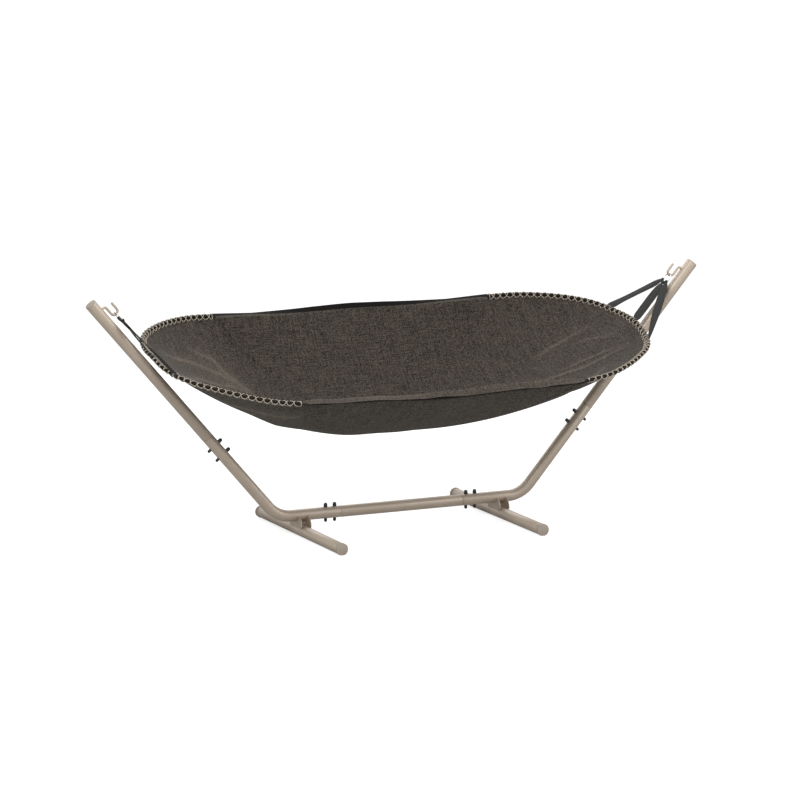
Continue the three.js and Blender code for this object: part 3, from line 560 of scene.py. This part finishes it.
def stretch(first, last, steps):
    """Evenly spaced points of the rim between two of its control points."""
    fine = rim_at(np.linspace(first, last, stretch_samples))
    run = np.concatenate([[0], np.cumsum(np.linalg.norm(np.diff(fine, axis=0), axis=1))])
    spots = np.linspace(0, run[-1], steps + 1)
    return np.stack([np.interp(spots, run, fine[:, k]) for k in range(3)], axis=1)


def unit(v):
    return v / np.linalg.norm(v, axis=-1, keepdims=True)


def rim_frames(points):
    """Along the rim, level and inwards, inwards down the cloth, and out of the cloth."""
    along = unit(np.gradient(points, axis=0))
    level = unit(np.stack([along[:, 1], -along[:, 0], np.zeros(len(points))], axis=1))
    level *= -np.sign(np.sum(level * points, axis=1, keepdims=True))
    probe = points + level * slope_probe
    fall = hollow(points[:, 0], points[:, 1]) - hollow(probe[:, 0], probe[:, 1])
    inward = level * slope_probe
    inward[:, 2] = -fall
    inward = unit(inward - along * np.sum(inward * along, axis=1, keepdims=True))
    out = np.cross(along, inward)
    out *= np.sign(out[:, 2:3])
    return {"point": points, "along": along, "level": level, "inward": inward, "out": out}


bow_steps = 200
ends = {
    1: rim_frames(stretch(bow_start, rim_half - bow_start, bow_steps)),
    -1: rim_frames(stretch(rim_half + bow_start, rim_count - bow_start, bow_steps)),
}

# End bows. A dark rod curved to the bed's outline at each end, which the cloth is laced to.
bow_radius = 0.008

dark_rod = finish(
    "dark rod", (0.013, 0.0095, 0.006), 0.7, 0,
    grain=(700, 3, 0.2, 0.0003),
    Specular_IOR_Level=0.15,
)

for side, hand in hands:
    bow = rod(f"{hand}_end_bow_dark", hung(ends[side]["point"]), bow_radius, dark_rod, sides=24)
    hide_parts(f"{hand}_end_bow")
    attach(bow, "bed")

# Hems and lacing. The cloth's ends are hemmed. Four strands of thin beige cord, two each way, wind
# through the hem and round the bow, each by every second hole, so that they cross on the rod.
hem_half = 0.0022
hem_profile = [
    (0.0083, 0), (0.0095, 0.0014), (0.0118, hem_half), (0.0225, hem_half), (0.0243, 0.0016),
    (0.0243, -0.0016), (0.0225, -hem_half), (0.0118, -hem_half), (0.0095, -0.0014),
]
hem_stitch_reach = 0.0215
stitch_pitch = 0.0045
stitch_length = 0.0033
stitch_radius = 0.00035
cord_radius = 0.0013
lacing_loops = 48
lacing_margin = 0.004
lacing_hug = bow_radius + cord_radius + 0.0002
lacing_hole = 0.0176
lacing_steps = 40
lacing_angles = [0, 8, 42, 88, 115, 150, 203, 245, 272, 290, 310, 345, 360]
lacing_turns = [0, 0.03, 0.25, 0.31, 0.36, 0.42, 0.5, 0.58, 0.66, 0.75, 0.84, 0.96, 1]
lacing_dip = 60
lacing_aside = 1.15 * cord_radius
lacing_over = 2.1 * cord_radius
crossings = (0, 0.25, 0.5, 0.75, 1)
crossing_width = 0.06
strap_loops = 6
strap_ply = 0.0016
strap_cover = 1.2 * strap_ply
cover_loops, cover_loops_ease = 0.6, 0.2
cover_turn, cover_turn_ease = 130, 30


def place_on(frames, distance):
    """Point and directions at a distance along a stretch of the rim."""
    step = np.linalg.norm(frames["point"][1] - frames["point"][0])
    places = np.asarray(distance) / step
    spots = np.arange(len(frames["point"]))
    return {
        key: np.stack([np.interp(places, spots, value[:, k]) for k in range(3)], axis=-1)
        for key, value in frames.items()
    }


def run_of(frames):
    return np.linalg.norm(frames["point"][1] - frames["point"][0]) * (len(frames["point"]) - 1)


def blend_of(tree, first, second, share):
    """A value that lies at a share of the way from one to another."""
    node = tree.nodes.new("ShaderNodeMix")
    dial(node, Factor=share, A=first, B=second)
    return node.outputs["Result"]


def melange(name, light, dark, spread):
    """Coarse woven cloth of mixed yarns, slubs both ways in long rows; painted highlight on folds and
    lip.
    """
    material, tree, surface, place = paint(name, dark, 0.95)
    warp = speckle(tree, place, 260, 2, 0.6, (0.3, 1, 1))
    weft = speckle(tree, place, 280, 2, 0.6, (1, 0.35, 0.35))
    rows = speckle(tree, place, 240, 1, 0.5, (0.03, 1, 1))
    columns = speckle(tree, place, 240, 1, 0.5, (1, 0.05, 0.05))
    fine = speckle(tree, place, 250, 3, 0.7)
    yarn = blend_of(tree, blend_of(tree, warp, weft, 0.5), fine, 0.6)
    yarn = blend_of(tree, yarn, blend_of(tree, rows, columns, 0.5), 0.2)
    tint = ramp(tree, yarn, [(0.5 - spread, dark), (0.5 + spread, light)])
    # Painted highlight: a lighter tint added where the mesh attribute says, on the folds and the near
    # lip.
    painted_highlight, painted_highlight_mix = tree.nodes.new("ShaderNodeAttribute"), tree.nodes.new("ShaderNodeMixRGB")
    painted_highlight.attribute_name = "painted_highlight"
    painted_highlight_mix.blend_type = "ADD"
    dial(painted_highlight_mix, Fac=painted_highlight.outputs["Fac"], Color1=tint, Color2=(*(0.5 * c for c in light), 1))
    emboss(tree, surface, yarn, 0.6, 0.0008)
    dial(surface, Base_Color=painted_highlight_mix.outputs["Color"], Specular_IOR_Level=0.1)
    dial(surface, Sheen_Weight=0.06, Sheen_Roughness=0.6)
    return material


def lacing_line(frames, back, first):
    """One strand: it winds through every second hole, and crosses the others on the rod."""
    pitch = (run_of(frames) - 2 * lacing_margin) / lacing_loops
    count = lacing_loops // 2 + (0 if first else 0.5)
    turns = np.arange(round(count * lacing_steps) + 1) / lacing_steps
    turn = turns % 1
    angle = np.interp(turn, lacing_turns, lacing_angles)
    place = np.minimum(first + 2 * turns, lacing_loops) + lacing_aside / pitch
    if back:
        place = lacing_loops - place
    near_hole = np.minimum(angle, 360 - angle)
    dip = (1 + np.cos(np.radians(180 / lacing_dip * np.minimum(near_hole, lacing_dip)))) / 2
    strap = np.min([abs(place - lacing_loops / 2 - k * strap_loops) for k in (-1, 0, 1)], axis=0)
    over = np.clip((cover_loops - strap) / cover_loops_ease, 0, 1)
    over *= np.clip((cover_turn - near_hole) / cover_turn_ease, 0, 1)
    reach = lacing_hug + strap_cover * over + (lacing_hole - lacing_hug) * dip
    if back:
        reach += lacing_over * sum(
            np.exp(-((turn - crossing) / crossing_width) ** 2) for crossing in crossings
        )
    spot = place_on(frames, lacing_margin + place * pitch)
    return (
        spot["point"] + spot["inward"] * (reach * np.cos(np.radians(angle)))[:, None]
        + spot["out"] * (reach * np.sin(np.radians(angle)))[:, None]
    )


inner_cloth = melange("melange cloth", (0.11, 0.0925, 0.0745), (0.005, 0.0042, 0.0034), 0.066)
# The outer face takes a second, lighter copy of the melange: painted light that lifts the shade under
# the bed.
shade_lift_cloth = melange("melange cloth reverse", (0.13, 0.112, 0.087), (0.01, 0.0085, 0.0065), 0.06)
beige_cord = finish(
    "beige cord", (0.58, 0.51, 0.42), 0.85, 0,
    grain=(1600, 2, 0.4, 0.0003),
    drift=(700, 0.15, (0.44, 0.38, 0.3), (0.68, 0.61, 0.52)),
    Specular_IOR_Level=0.2,
)


def tidy_normals(mesh):
    work = bmesh.new()
    work.from_mesh(mesh)
    bmesh.ops.recalc_face_normals(work, faces=work.faces)
    work.to_mesh(mesh)
    work.free()


def skin(count, size, closed=False, first=0):
    """Faces between rows of corners, each row a ring, the last joined to the first if closed."""
    def at(r, k):
        return first + r % count * size + k % size

    return [
        (at(r, k), at(r, k + 1), at(r + 1, k + 1), at(r + 1, k))
        for r in range(count if closed else count - 1) for k in range(size)
    ]


def strip(name, rows, material, closed=False):
    """Solid strip from rows of corners, each row one section of it."""
    rows = np.asarray(rows)
    count, size = rows.shape[:2]
    faces = skin(count, size, closed)
    if not closed:
        faces += [tuple(range(size))[::-1], tuple(range((count - 1) * size, count * size))]
    mesh = mesh_of(name, rows.reshape(-1, 3), [], faces, material)
    tidy_normals(mesh)
    mesh.shade_smooth()
    mesh.set_sharp_from_angle(angle=math.radians(50))
    return show(name, mesh)


def stitch_tree():
    tree = bpy.data.node_groups.new("stitches along a line", "GeometryNodeTree")
    socket(tree, "Stitches", "Geometry", way="OUTPUT")
    socket(tree, "Line", "Geometry")
    key = socket(tree, "Material", "Material")
    new = tree.nodes.new
    start, end = new("NodeGroupInput"), new("NodeGroupOutput")
    curve, points = new("GeometryNodeMeshToCurve"), new("GeometryNodeCurveToPoints")
    stitch, turn = new("GeometryNodeMeshCylinder"), new("FunctionNodeAlignRotationToVector")
    spread, whole = new("GeometryNodeInstanceOnPoints"), new("GeometryNodeRealizeInstances")
    dress = new("GeometryNodeSetMaterial")
    points.mode = "LENGTH"
    turn.axis = "Z"
    dial(stitch, Vertices=6, Radius=stitch_radius, Depth=stitch_length)
    dial(points, Length=stitch_pitch)
    wire(
        tree,
        (start, "Line", curve, "Mesh"), (curve, "Curve", points, "Curve"),
        (points, "Tangent", turn, "Vector"), (turn, "Rotation", spread, "Rotation"),
        (points, "Points", spread, "Points"), (stitch, "Mesh", spread, "Instance"),
        (spread, "Instances", whole, "Geometry"), (whole, "Geometry", dress, "Geometry"),
        (start, "Material", dress, "Material"), (dress, "Geometry", end, "Stitches"),
    )
    return tree, key


seams, seam_material = stitch_tree()


def stitched(name, lines, material):
    """Rows of short even stitches along the lines, half sunk in the cloth."""
    points, edges = [], []
    for line in lines:
        first = len(points)
        points += list(line)
        edges += [(i, i + 1) for i in range(first, len(points) - 1)]
    row = show(name, mesh_of(name, points, edges, []))
    nodes = row.modifiers.new("stitches", "NODES")
    nodes.node_group = seams
    nodes[seam_material] = material
    settled(row)
    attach(row, "bed")


for side, hand in hands:
    frames = ends[side]
    rows = [
        [p + i * reach + o * height for reach, height in hem_profile]
        for p, i, o in zip(frames["point"], frames["inward"], frames["out"])
    ]
    hem = strip(f"{hand}_end_hem_cloth", [hung(row) for row in rows], inner_cloth)
    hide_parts(f"{hand}_end_hem")
    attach(hem, "bed")
    seam = [
        hung(frames["point"] + frames["inward"] * hem_stitch_reach + frames["out"] * face * hem_half)
        for face in (1, -1)
    ]
    stitched(f"{hand}_end_hem_stitches", seam, inner_cloth)
    cords = [
        rod(f"{hand}_lacing_{word}", hung(lacing_line(frames, *way)), cord_radius, beige_cord, sides=8)
        for word, *way in (
            ("out", False, 0), ("out_between", False, 1), ("back", True, 0), ("back_between", True, 1),
        )
    ]
    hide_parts(f"{hand}_lacing_cord")
    for piece in cords:
        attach(piece, "bed")

# Side bands. Black webbing from bow to bow along both long edges: the near one slopes out and
# down under the cloth's turned lip, the far one stands up on the rim.
band_width = 0.038
band_thickness = 0.0025
band_bevel = 0.96
band_stitch_inset = 0.0035
band_steps = 110
band_shares = [-1, -0.96, -0.9, -0.7, -0.48, -0.24, 0, 0.24, 0.48, 0.7, 0.9, 0.96, 1]
rear_tilts = np.radians([8, 6, 4, -2, 18, 34, 40, 34, 18, -2, 4, 6, 8])
front_tilts = np.radians([10, 4, -8, -20, -28, -31, -24, -8, -2, -6, -8, 2, 10])
front_lifts = np.array([0, 1, 3, 9, 14, 15, 12, 8, 8, 7, 4, 1, 0]) / 1000


def webbing(name, dark, light):
    """Flat woven strap: a close rib across it, from fine bands of light and dark yarn."""
    material, tree, surface, place = paint(name, dark, 0.75)
    rib = speckle(tree, place, 500, 3, 0.6, (1, 0.3, 0.3))
    shade = ramp(tree, rib, [(0.35, dark), (0.7, light)])
    dial(surface, Base_Color=shade, Specular_IOR_Level=0.06)
    emboss(tree, surface, rib, 0.5, 0.0005)
    return material


black_webbing = webbing("black webbing", (0.005, 0.0045, 0.004), (0.014, 0.0125, 0.0115))
grey_webbing = webbing("grey webbing", (0.031, 0.0315, 0.0298), (0.067, 0.068, 0.0645))


def web_section(bevel):
    """Corners of a flat strap's section, in half widths and half thicknesses."""
    return (1, 0), (bevel, 1), (-bevel, 1), (-1, 0), (-bevel, -1), (bevel, -1)


def side_frames(front):
    middle = rim_half if front else rim_count
    frames = rim_frames(stretch(middle - bow_start, middle + bow_start, band_steps))
    shares = np.linspace(-1, 1, band_steps + 1)
    tilt = np.interp(shares, band_shares, front_tilts if front else rear_tilts)[:, None]
    if front:
        frames["point"][:, 2] += np.interp(shares, band_shares, front_lifts)
    frames["lean"] = frames["level"] * np.cos(tilt)
    frames["lean"][:, 2] = -np.sin(tilt[:, 0])
    frames["face"] = unit(np.cross(frames["along"], frames["lean"]))
    frames["face"] *= np.sign(frames["face"][:, 2:3])
    frames["share"] = shares
    return frames


sides = {True: side_frames(True), False: side_frames(False)}


def on_band(frames, across, above):
    """Places beside a band's middle: across it towards the bed, and above its upper face."""
    return (
        frames["point"] + frames["lean"] * np.reshape(across, (-1, 1))
        + frames["face"] * np.reshape(above, (-1, 1))
    )


for front, way in ((True, "front"), (False, "rear")):
    frames = dict(sides[front])
    frames["point"] = frames["point"].copy()
    frames["point"][0] += frames["along"][0] * seam_gap
    frames["point"][-1] -= frames["along"][-1] * seam_gap
    rows = np.stack([
        on_band(frames, u * band_width / 2, v * band_thickness / 2)
        for u, v in web_section(band_bevel)
    ], axis=1)
    band = strip(f"{way}_side_band_webbing", [hung(row) for row in rows], black_webbing)
    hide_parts(f"{way}_side_band")
    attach(band, "bed")
    seam = [
        hung(on_band(frames, u * (band_width / 2 - band_stitch_inset), v * band_thickness / 2))
        for u in (1, -1) for v in (1, -1)
    ]
    stitched(f"{way}_side_band_stitches", seam, black_webbing)

# Cloth. One deep boat-shaped bed of heavy melange cloth: it falls from its lowest place up to
# the two hems, turns over the near band in a lip and is sewn to the far one's face.
cloth_thickness = 0.0025
cloth_reaches = (0.0262, 0.013)
ring_count = 68
ring_crowding = 0.8
edge_pull = 6
lip_radius = 0.006
lip_centre = 0.0165
lip_edge = 0.0165
lip_height = 0.0046
lip_swell = 0.0014
lip_ease = 0.04
lip_bared = (0.006, 0.06, 0.2)
lip_edge_waves = [(0.0012, 23, 1)]
lip_lift_waves = [(0.0012, 14, 0.6), (0.0008, 31, 0)]
# Painted highlight on the near lip, where light falls on its top: on the hollow's last ring, then on
# the lip's own rows, easing in from its ends.
lip_painted_highlight = (0.15, 0.28)
lip_highlight_ease = 0.1
lip_stitch_across = -0.001
lip_stitch_short = 12
far_ease = 0.05
far_across = (0.026, 0.01)
far_above = (0.0024, 0.0017)
left_puff = (0.009, 30)
right_puff = (0.005, 26)
puff_place = 0.965
puff_width = 0.02
fold_fade = 0.07
lip_turns = np.radians([-30, -6, 18, 42, 66, 90])
lip_flats = [0.009, 0.001, -0.008, -lip_edge]
edge_rows = len(lip_turns) + len(lip_flats)
soft_folds = [
    ([(-1.055, 0.185), (-0.98, 0.203), (-0.893, 0.231), (-0.813, 0.24), (-0.743, 0.234),
      (-0.676, 0.218), (-0.576, 0.186)], 0.003, 0.014),
    ([(-0.869, 0.317), (-0.8, 0.316), (-0.742, 0.313), (-0.694, 0.247), (-0.632, 0.218),
      (-0.578, 0.192)], 0.0026, 0.013),
    ([(-1.066, -0.008), (-1.001, 0.001), (-0.873, 0.125), (-0.794, 0.143), (-0.679, 0.184),
      (-0.581, 0.185)], 0.0024, 0.015),
    ([(0.657, 0.013), (0.719, -0.044), (0.788, -0.067), (0.834, -0.084), (0.875, -0.107),
      (0.98, -0.121), (1.081, -0.143)], 0.003, 0.014),
    ([(0.805, -0.029), (0.862, -0.043), (0.92, -0.057), (0.987, -0.078),
      (1.049, -0.114)], 0.0024, 0.011),
    ([(0.734, 0.145), (0.837, 0.159), (0.933, 0.162), (1.026, 0.158)], 0.002, 0.018),
    ([(0.937, 0.109), (1.004, 0.058), (1.055, -0.012)], 0.0016, 0.012),
    ([(-0.62, -0.42), (-0.78, -0.3), (-0.95, -0.16)], 0.003, 0.02),
    ([(0.6, -0.43), (0.76, -0.33), (0.93, -0.2)], 0.003, 0.02),
]
crease_line = [
    (-0.66, 0.53), (-0.631, 0.466), (-0.611, 0.43), (-0.594, 0.398), (-0.581, 0.34), (-0.567, 0.269),
    (-0.567, 0.182), (-0.58, 0.04), (-0.598, -0.086), (-0.64, -0.19), (-0.687, -0.279), (-0.7, -0.45),
]
fold_taper = 0.6
# Painted highlight of the folds: the rise that makes it full, how narrow it is on a ridge, then a broad
# painted glow round each fold, stronger at the left end.
highlight_full_rise = 0.0024
highlight_narrow = 0.45
glow_rise = 0.003
glow_wide = 3
glow_left, glow_right = 0.45, 0.1
crease_depth = 0.014
crease_reach = 0.12
crease_round = 0.004
crease_taper = 0.5


def nearest(x, y, line):
    """Distance from each place to a broken line, and how far along the line that is, from 0 to 1."""
    best = np.full(x.shape, 1e9)
    along = np.zeros(x.shape)
    line = np.asarray(line)
    for i, (a, b) in enumerate(zip(line[:-1], line[1:])):
        d = b - a
        t = np.clip(((x - a[0]) * d[0] + (y - a[1]) * d[1]) / (d @ d), 0, 1)
        far = np.hypot(x - a[0] - t * d[0], y - a[1] - t * d[1])
        along = np.where(far < best, (i + t) / (len(line) - 1), along)
        best = np.minimum(best, far)
    return best, along


def folds(x, y):
    """Height of the folds and of the one sharp crease over the plain hollow, and the folds' painted
    highlight.
    """
    height, painted_highlight = np.zeros(x.shape), np.zeros(x.shape)
    for line, rise, width in soft_folds:
        far, along = nearest(x, y, line)
        full = np.sin(math.pi * along) ** fold_taper
        height += 2 * rise * np.exp(-(far / width) ** 2) * full
        # Painted highlight along the fold's ridge, then a broad painted glow round it.
        painted_highlight += rise / highlight_full_rise * np.exp(-(far / (highlight_narrow * width)) ** 2) * full
        glow = np.where(x < 0, glow_left, glow_right) * rise / glow_rise
        painted_highlight += glow * np.exp(-(far / (glow_wide * width)) ** 2) * full
    far, along = nearest(x, y, crease_line)
    slack = np.clip(1 - np.sqrt(far ** 2 + crease_round ** 2) / crease_reach, 0, 1)
    height -= crease_depth * slack * np.sin(math.pi * np.clip(along, 0.02, 0.98)) ** crease_taper
    return height, painted_highlight


def waves(share, terms):
    """A slow waver along an edge, from (height, pace, start) terms."""
    return sum(height * np.sin(pace * share + start) for height, pace, start in terms)


def cloth_edges():
    """Rows of stations round the cloth, from the edge of its hollow out to its own edge."""
    plain = np.linspace(*cloth_reaches, edge_rows)
    flat = cloth_thickness / 2
    inner = {front: {key: value[1:-1] for key, value in sides[front].items()} for front in sides}

    def end(side):
        f = ends[side]
        return [f["point"] + f["inward"] * reach + f["out"] * flat for reach in plain]

    def near():
        share = inner[True]["share"]
        whole = np.clip((1 - np.abs(share)) / lip_ease, 0, 1)
        whole = whole ** 2 * (3 - 2 * whole)
        most, middle, width = lip_bared
        shown = most * np.exp(-((share - middle) / width) ** 2) + waves(share, lip_edge_waves)
        lift = waves(share, lip_lift_waves)
        curl = [(lip_centre + lip_radius * math.cos(a), lip_radius * math.sin(a)) for a in lip_turns]
        curl += [(c, lip_height + lip_swell * max(c, 0) / lip_flats[0]) for c in lip_flats]
        rows = []
        for (across, above), level in zip(curl, plain):
            retreat = shown * np.clip((lip_centre - across) / (lip_centre + lip_edge), 0, 1)
            rows.append(on_band(
                inner[True],
                whole * (across + retreat) + (1 - whole) * level,
                whole * (above + lift) + (1 - whole) * flat,
            ))
        return rows

    def far():
        whole = np.clip((1 - np.abs(inner[False]["share"])) / far_ease, 0, 1)
        acrosses = np.linspace(*far_across, edge_rows)
        aboves = far_above[0] + far_above[1] * np.minimum(np.linspace(0, 2, edge_rows), 1)
        return [
            on_band(inner[False], whole * c + (1 - whole) * level, whole * a + (1 - whole) * flat)
            for c, a, level in zip(acrosses, aboves, plain)
        ]

    return [np.concatenate(rows) for rows in zip(end(1), near(), end(-1), far())]


def cloth_mesh():
    edges = cloth_edges()
    edge = edges[0]
    count = len(edge)
    puff = np.zeros(count)
    corner = len(ends[1]["point"]) + len(sides[True]["point"]) - 2
    swell, steps = left_puff
    puff[corner:corner + steps + 1] = swell * np.linspace(1, 0, steps + 1) ** 0.5
    swell, steps = right_puff
    puff[bow_steps - steps:bow_steps + 1] = swell * np.linspace(0, 1, steps + 1) ** 0.5
    miss = edge[:, 2] - hollow(edge[:, 0], edge[:, 1])
    rows = [np.array([[hollow_shift, 0, hollow(np.array(hollow_shift), np.array(0.0))]])]
    painted_highlights = [np.zeros(1)]
    for ring in np.linspace(0, 1, ring_count + 1)[1:] ** ring_crowding:
        x = hollow_shift + (edge[:, 0] - hollow_shift) * ring
        y = edge[:, 1] * ring
        fade = 1 - np.clip((ring - 1 + fold_fade) / fold_fade, 0, 1) ** 2
        # Each ring takes the folds' height and their painted highlight, both fading at the edge.
        fold, painted_highlight = folds(x, y)
        height = hollow(x, y) + miss * ring ** edge_pull + fold * fade
        painted_highlights.append(painted_highlight * fade)
        height += puff * math.exp(-((ring - puff_place) / puff_width) ** 2) * (ring < 1)
        rows.append(np.stack([x, y, height], axis=1))
    rows += edges[1:]
    faces = [(0, 1 + (k + 1) % count, 1 + k) for k in range(count)]
    faces += skin(len(rows) - 1, count, first=1)
    points = hung(np.concatenate(rows))
    mesh = mesh_of("hammock_cloth_sewn", points, [], faces, inner_cloth, shade_lift_cloth)
    # Painted highlight along the near lip, fading in from its ends.
    near_lip = np.zeros(count)
    short = (1 - np.abs(sides[True]["share"][1:-1])) / lip_highlight_ease
    near_lip[bow_steps + 1:corner] = np.clip(short, 0, 1)
    painted_highlights[-1] = lip_painted_highlight[0] * near_lip
    painted_highlights += [lip_painted_highlight[1] * near_lip] * (len(rows) - len(painted_highlights))
    painted_highlight = mesh.attributes.new("painted_highlight", "FLOAT", "POINT")
    painted_highlight.data.foreach_set("value", np.concatenate(painted_highlights).astype(np.float32))
    tidy_normals(mesh)
    if mesh.polygons[0].normal.z < 0:
        mesh.flip_normals()
    mesh.shade_smooth()
    return mesh


sheet_mesh = cloth_mesh()
cloth = show("hammock_cloth_sewn", sheet_mesh)
thicken = cloth.modifiers.new("thickness", "SOLIDIFY")
thicken.thickness = cloth_thickness
thicken.offset = -1
# The thickened cloth's outer face takes the lighter copy, painted light for the shade under it.
thicken.material_offset = 1
settled(cloth, 60)
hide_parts("hammock_cloth")
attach(cloth, "bed")
lip_frames = {key: value[lip_stitch_short:-lip_stitch_short] for key, value in sides[True].items()}
lip_seam = hung(on_band(lip_frames, lip_stitch_across, lip_height))
stitched("cloth_lip_stitches", [lip_seam], shade_lift_cloth)

# Straps. Grey webbing doubled round the bow and round the ring, three at each end. Each is folded
# narrow in the ring, lies nearly in the fan that they hang in, and turns flat onto the bow; the
# set says where in the fan, and at each end how many degrees off it and how late it turns.
strap_width = 0.048
strap_shares = [0, 0.03, 0.08, 0.15, 0.26, 0.96, 1]
strap_widths = [0.38, 0.58, 0.82, 0.96, 1, 1, 0.82]
strap_spread = math.radians(45)
strap_ring_lean = bed_lean / 2
ply_gap = 0.0001
ring_arc = (25, 335, 24)
bow_arc = (-160, 160, 32)
straight_steps = 32
strap_bevel = 0.94
ring_leave, bow_leave = 1.25, 1.2
strap_set = (
    ("front", -1, {-1: (-7, 0.4), 1: (2, 1)}),
    ("centre", 0, {-1: (-8, 2), 1: (-8, 6)}),
    ("rear", 1, {-1: (11, 2), 1: (11, 4)}),
)


def strap_rows(ring_eye, bow_eye, fan, turned, hold):
    """Sections of the doubled strap, a closed loop through both eyes."""
    ring_centre, ring_axis, ring_bore = ring_eye
    bow_centre, bow_axis, bow_bore = bow_eye
    span = bow_centre - ring_centre
    length = span.length
    straight = span.normalized()
    ring_along = (span - ring_axis * span.dot(ring_axis)).normalized()
    bow_along = (span - bow_axis * span.dot(bow_axis)).normalized()
    middle_axis = Matrix.Rotation(turned, 3, straight) @ fan.cross(straight).normalized()
    turns = [
        Matrix((along, axis.cross(along), axis)).transposed().to_quaternion()
        for along, axis in ((ring_along, ring_axis), (straight, middle_axis), (bow_along, bow_axis))
    ]
    ring_mid, bow_mid = ring_bore + strap_ply / 2, bow_bore + strap_ply / 2
    half = strap_ply / 2 + ply_gap
    start = ring_mid * ring_leave
    stop = length - bow_mid * bow_leave
    run = np.linspace(start, stop, straight_steps + 1)
    outline = [
        *arc((0, 0), ring_mid, *ring_arc),
        *((x, -half) for x in run),
        *arc((length, 0), bow_mid, *bow_arc),
        *((x, half) for x in run[::-1]),
    ]
    to = length - lacing_hug - 2 * cord_radius
    first = ring_centre + ring_along * start
    last = bow_centre + bow_along * (to - length)
    loop = np.array(outline)
    tangent = np.roll(loop, -1, axis=0) - np.roll(loop, 1, axis=0)
    tangent /= np.linalg.norm(tangent, axis=1, keepdims=True)
    normal = np.stack([tangent[:, 1], -tangent[:, 0]], axis=1)
    rows = []
    for (x, y), (nx, ny) in zip(loop, normal):
        share = min(max((x - start) / (to - start), 0), 1)
        width = strap_width * np.interp(share, strap_shares, strap_widths)
        beyond = x - start if x < start else max(x - to, 0)
        quaternion = (
            turns[0].slerp(turns[1], 1 - (1 - share * 2) ** 2) if share < 0.5
            else turns[1].slerp(turns[2], (share * 2 - 1) ** hold)
        )
        base = first.lerp(last, share)
        rows.append([
            tuple(base + quaternion @ Vector((beyond + nx * t, y + ny * t, u * width / 2)))
            for u, t in ((u, v * strap_ply / 2) for u, v in web_section(strap_bevel))
        ])
    return rows


lean_turn = Matrix.Rotation(bed_lean, 3, "X")
ring_sag = ring_radius - math.sqrt(ring_radius ** 2 - (strap_width * strap_widths[0] / 2) ** 2)

for side, hand in hands:
    frames = ends[side]
    pitch = (run_of(frames) - 2 * lacing_margin) / lacing_loops
    centre, down = ring_centres[side]
    bow_middle = Vector(hung(place_on(frames, run_of(frames) / 2)["point"])[0])
    fan = (bow_middle - centre).cross(lean_turn @ Vector((0, 1, 0)))
    for name, place, leans in strap_set:
        spot = place_on(frames, run_of(frames) / 2 - side * place * strap_loops * pitch)
        swing = place * strap_spread + strap_ring_lean
        ring_point = centre + ring_radius * (math.cos(swing) * down + Vector((0, math.sin(swing), 0)))
        ring_axis = (Vector((0, math.cos(swing), 0)) - math.sin(swing) * down).normalized()
        bow_axis = (lean_turn @ Vector(spot["along"])).normalized()
        if bow_axis.dot(ring_axis) < 0:
            bow_axis = -bow_axis
        rows = strap_rows(
            (ring_point, ring_axis, ring_wire + ring_sag + seam_gap),
            (Vector(hung(spot["point"])[0]), bow_axis, bow_radius + seam_gap),
            fan,
            side * math.radians(leans[side][0]),
            leans[side][1],
        )
        strap = strip(f"{hand}_{name}_strap_webbing", rows, grey_webbing, closed=True)
        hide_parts(f"{hand}_{name}_strap")
        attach(strap, "bed")

# Studio. A pale floor that keeps the shadow, a white surround and large soft lamps.
def studio():
    material, tree, surface, _ = paint("floor", (0.55, 0.55, 0.55), 0.9)
    corners = [(x, y, 0) for x, y in ((-30, -30), (30, -30), (30, 30), (-30, 30))]
    floor = show("floor", mesh_of("floor", corners, [], [(0, 1, 2, 3)], material))
    new = tree.nodes.new
    dial(surface, Specular_IOR_Level=0)
    path, glow = new("ShaderNodeLightPath"), new("ShaderNodeEmission")
    both, seen = new("ShaderNodeAddShader"), new("ShaderNodeMath")
    seen.operation = "MULTIPLY"
    seen.inputs[1].default_value = 0.75
    wire(
        tree,
        (path, "Is Camera Ray", seen, 0),
        (seen, 0, glow, "Strength"),
        (surface, "BSDF", both, 0),
        (glow, "Emission", both, 1),
        (both, "Shader", tree.nodes["Material Output"], "Surface"),
    )
    world = bpy.data.worlds.new("studio")
    bpy.context.scene.world = world
    world.use_nodes = True
    tree = world.node_tree
    new = tree.nodes.new
    path, seen, strength = new("ShaderNodeLightPath"), new("ShaderNodeMath"), new("ShaderNodeMapRange")
    seen.operation = "MAXIMUM"
    dial(strength, To_Min=0.55, To_Max=1)
    dial(tree.nodes["Background"], Color=(1, 1, 1, 1))
    wire(
        tree,
        (path, "Is Camera Ray", seen, 0),
        (path, "Is Glossy Ray", seen, 1),
        (seen, 0, strength, "Value"),
        (strength, "Result", tree.nodes["Background"], "Strength"),
    )
    for name, place, size, energy in (
        ("key", (-2.5, -3.5, 4.2), 3.0, 150),
        ("fill", (3.5, -3.0, 2.5), 3.0, 60),
        ("back", (0.5, 3.0, 4.0), 3.5, 90),
    ):
        lamp = bpy.data.lights.new(name, "AREA")
        lamp.size = size
        lamp.energy = energy
        thing = bpy.data.objects.new(name, lamp)
        thing.location = place
        thing.rotation_euler = (Vector((0, 0, 0.6)) - Vector(place)).to_track_quat("-Z", "Y").to_euler()
        bpy.context.collection.objects.link(thing)


studio()
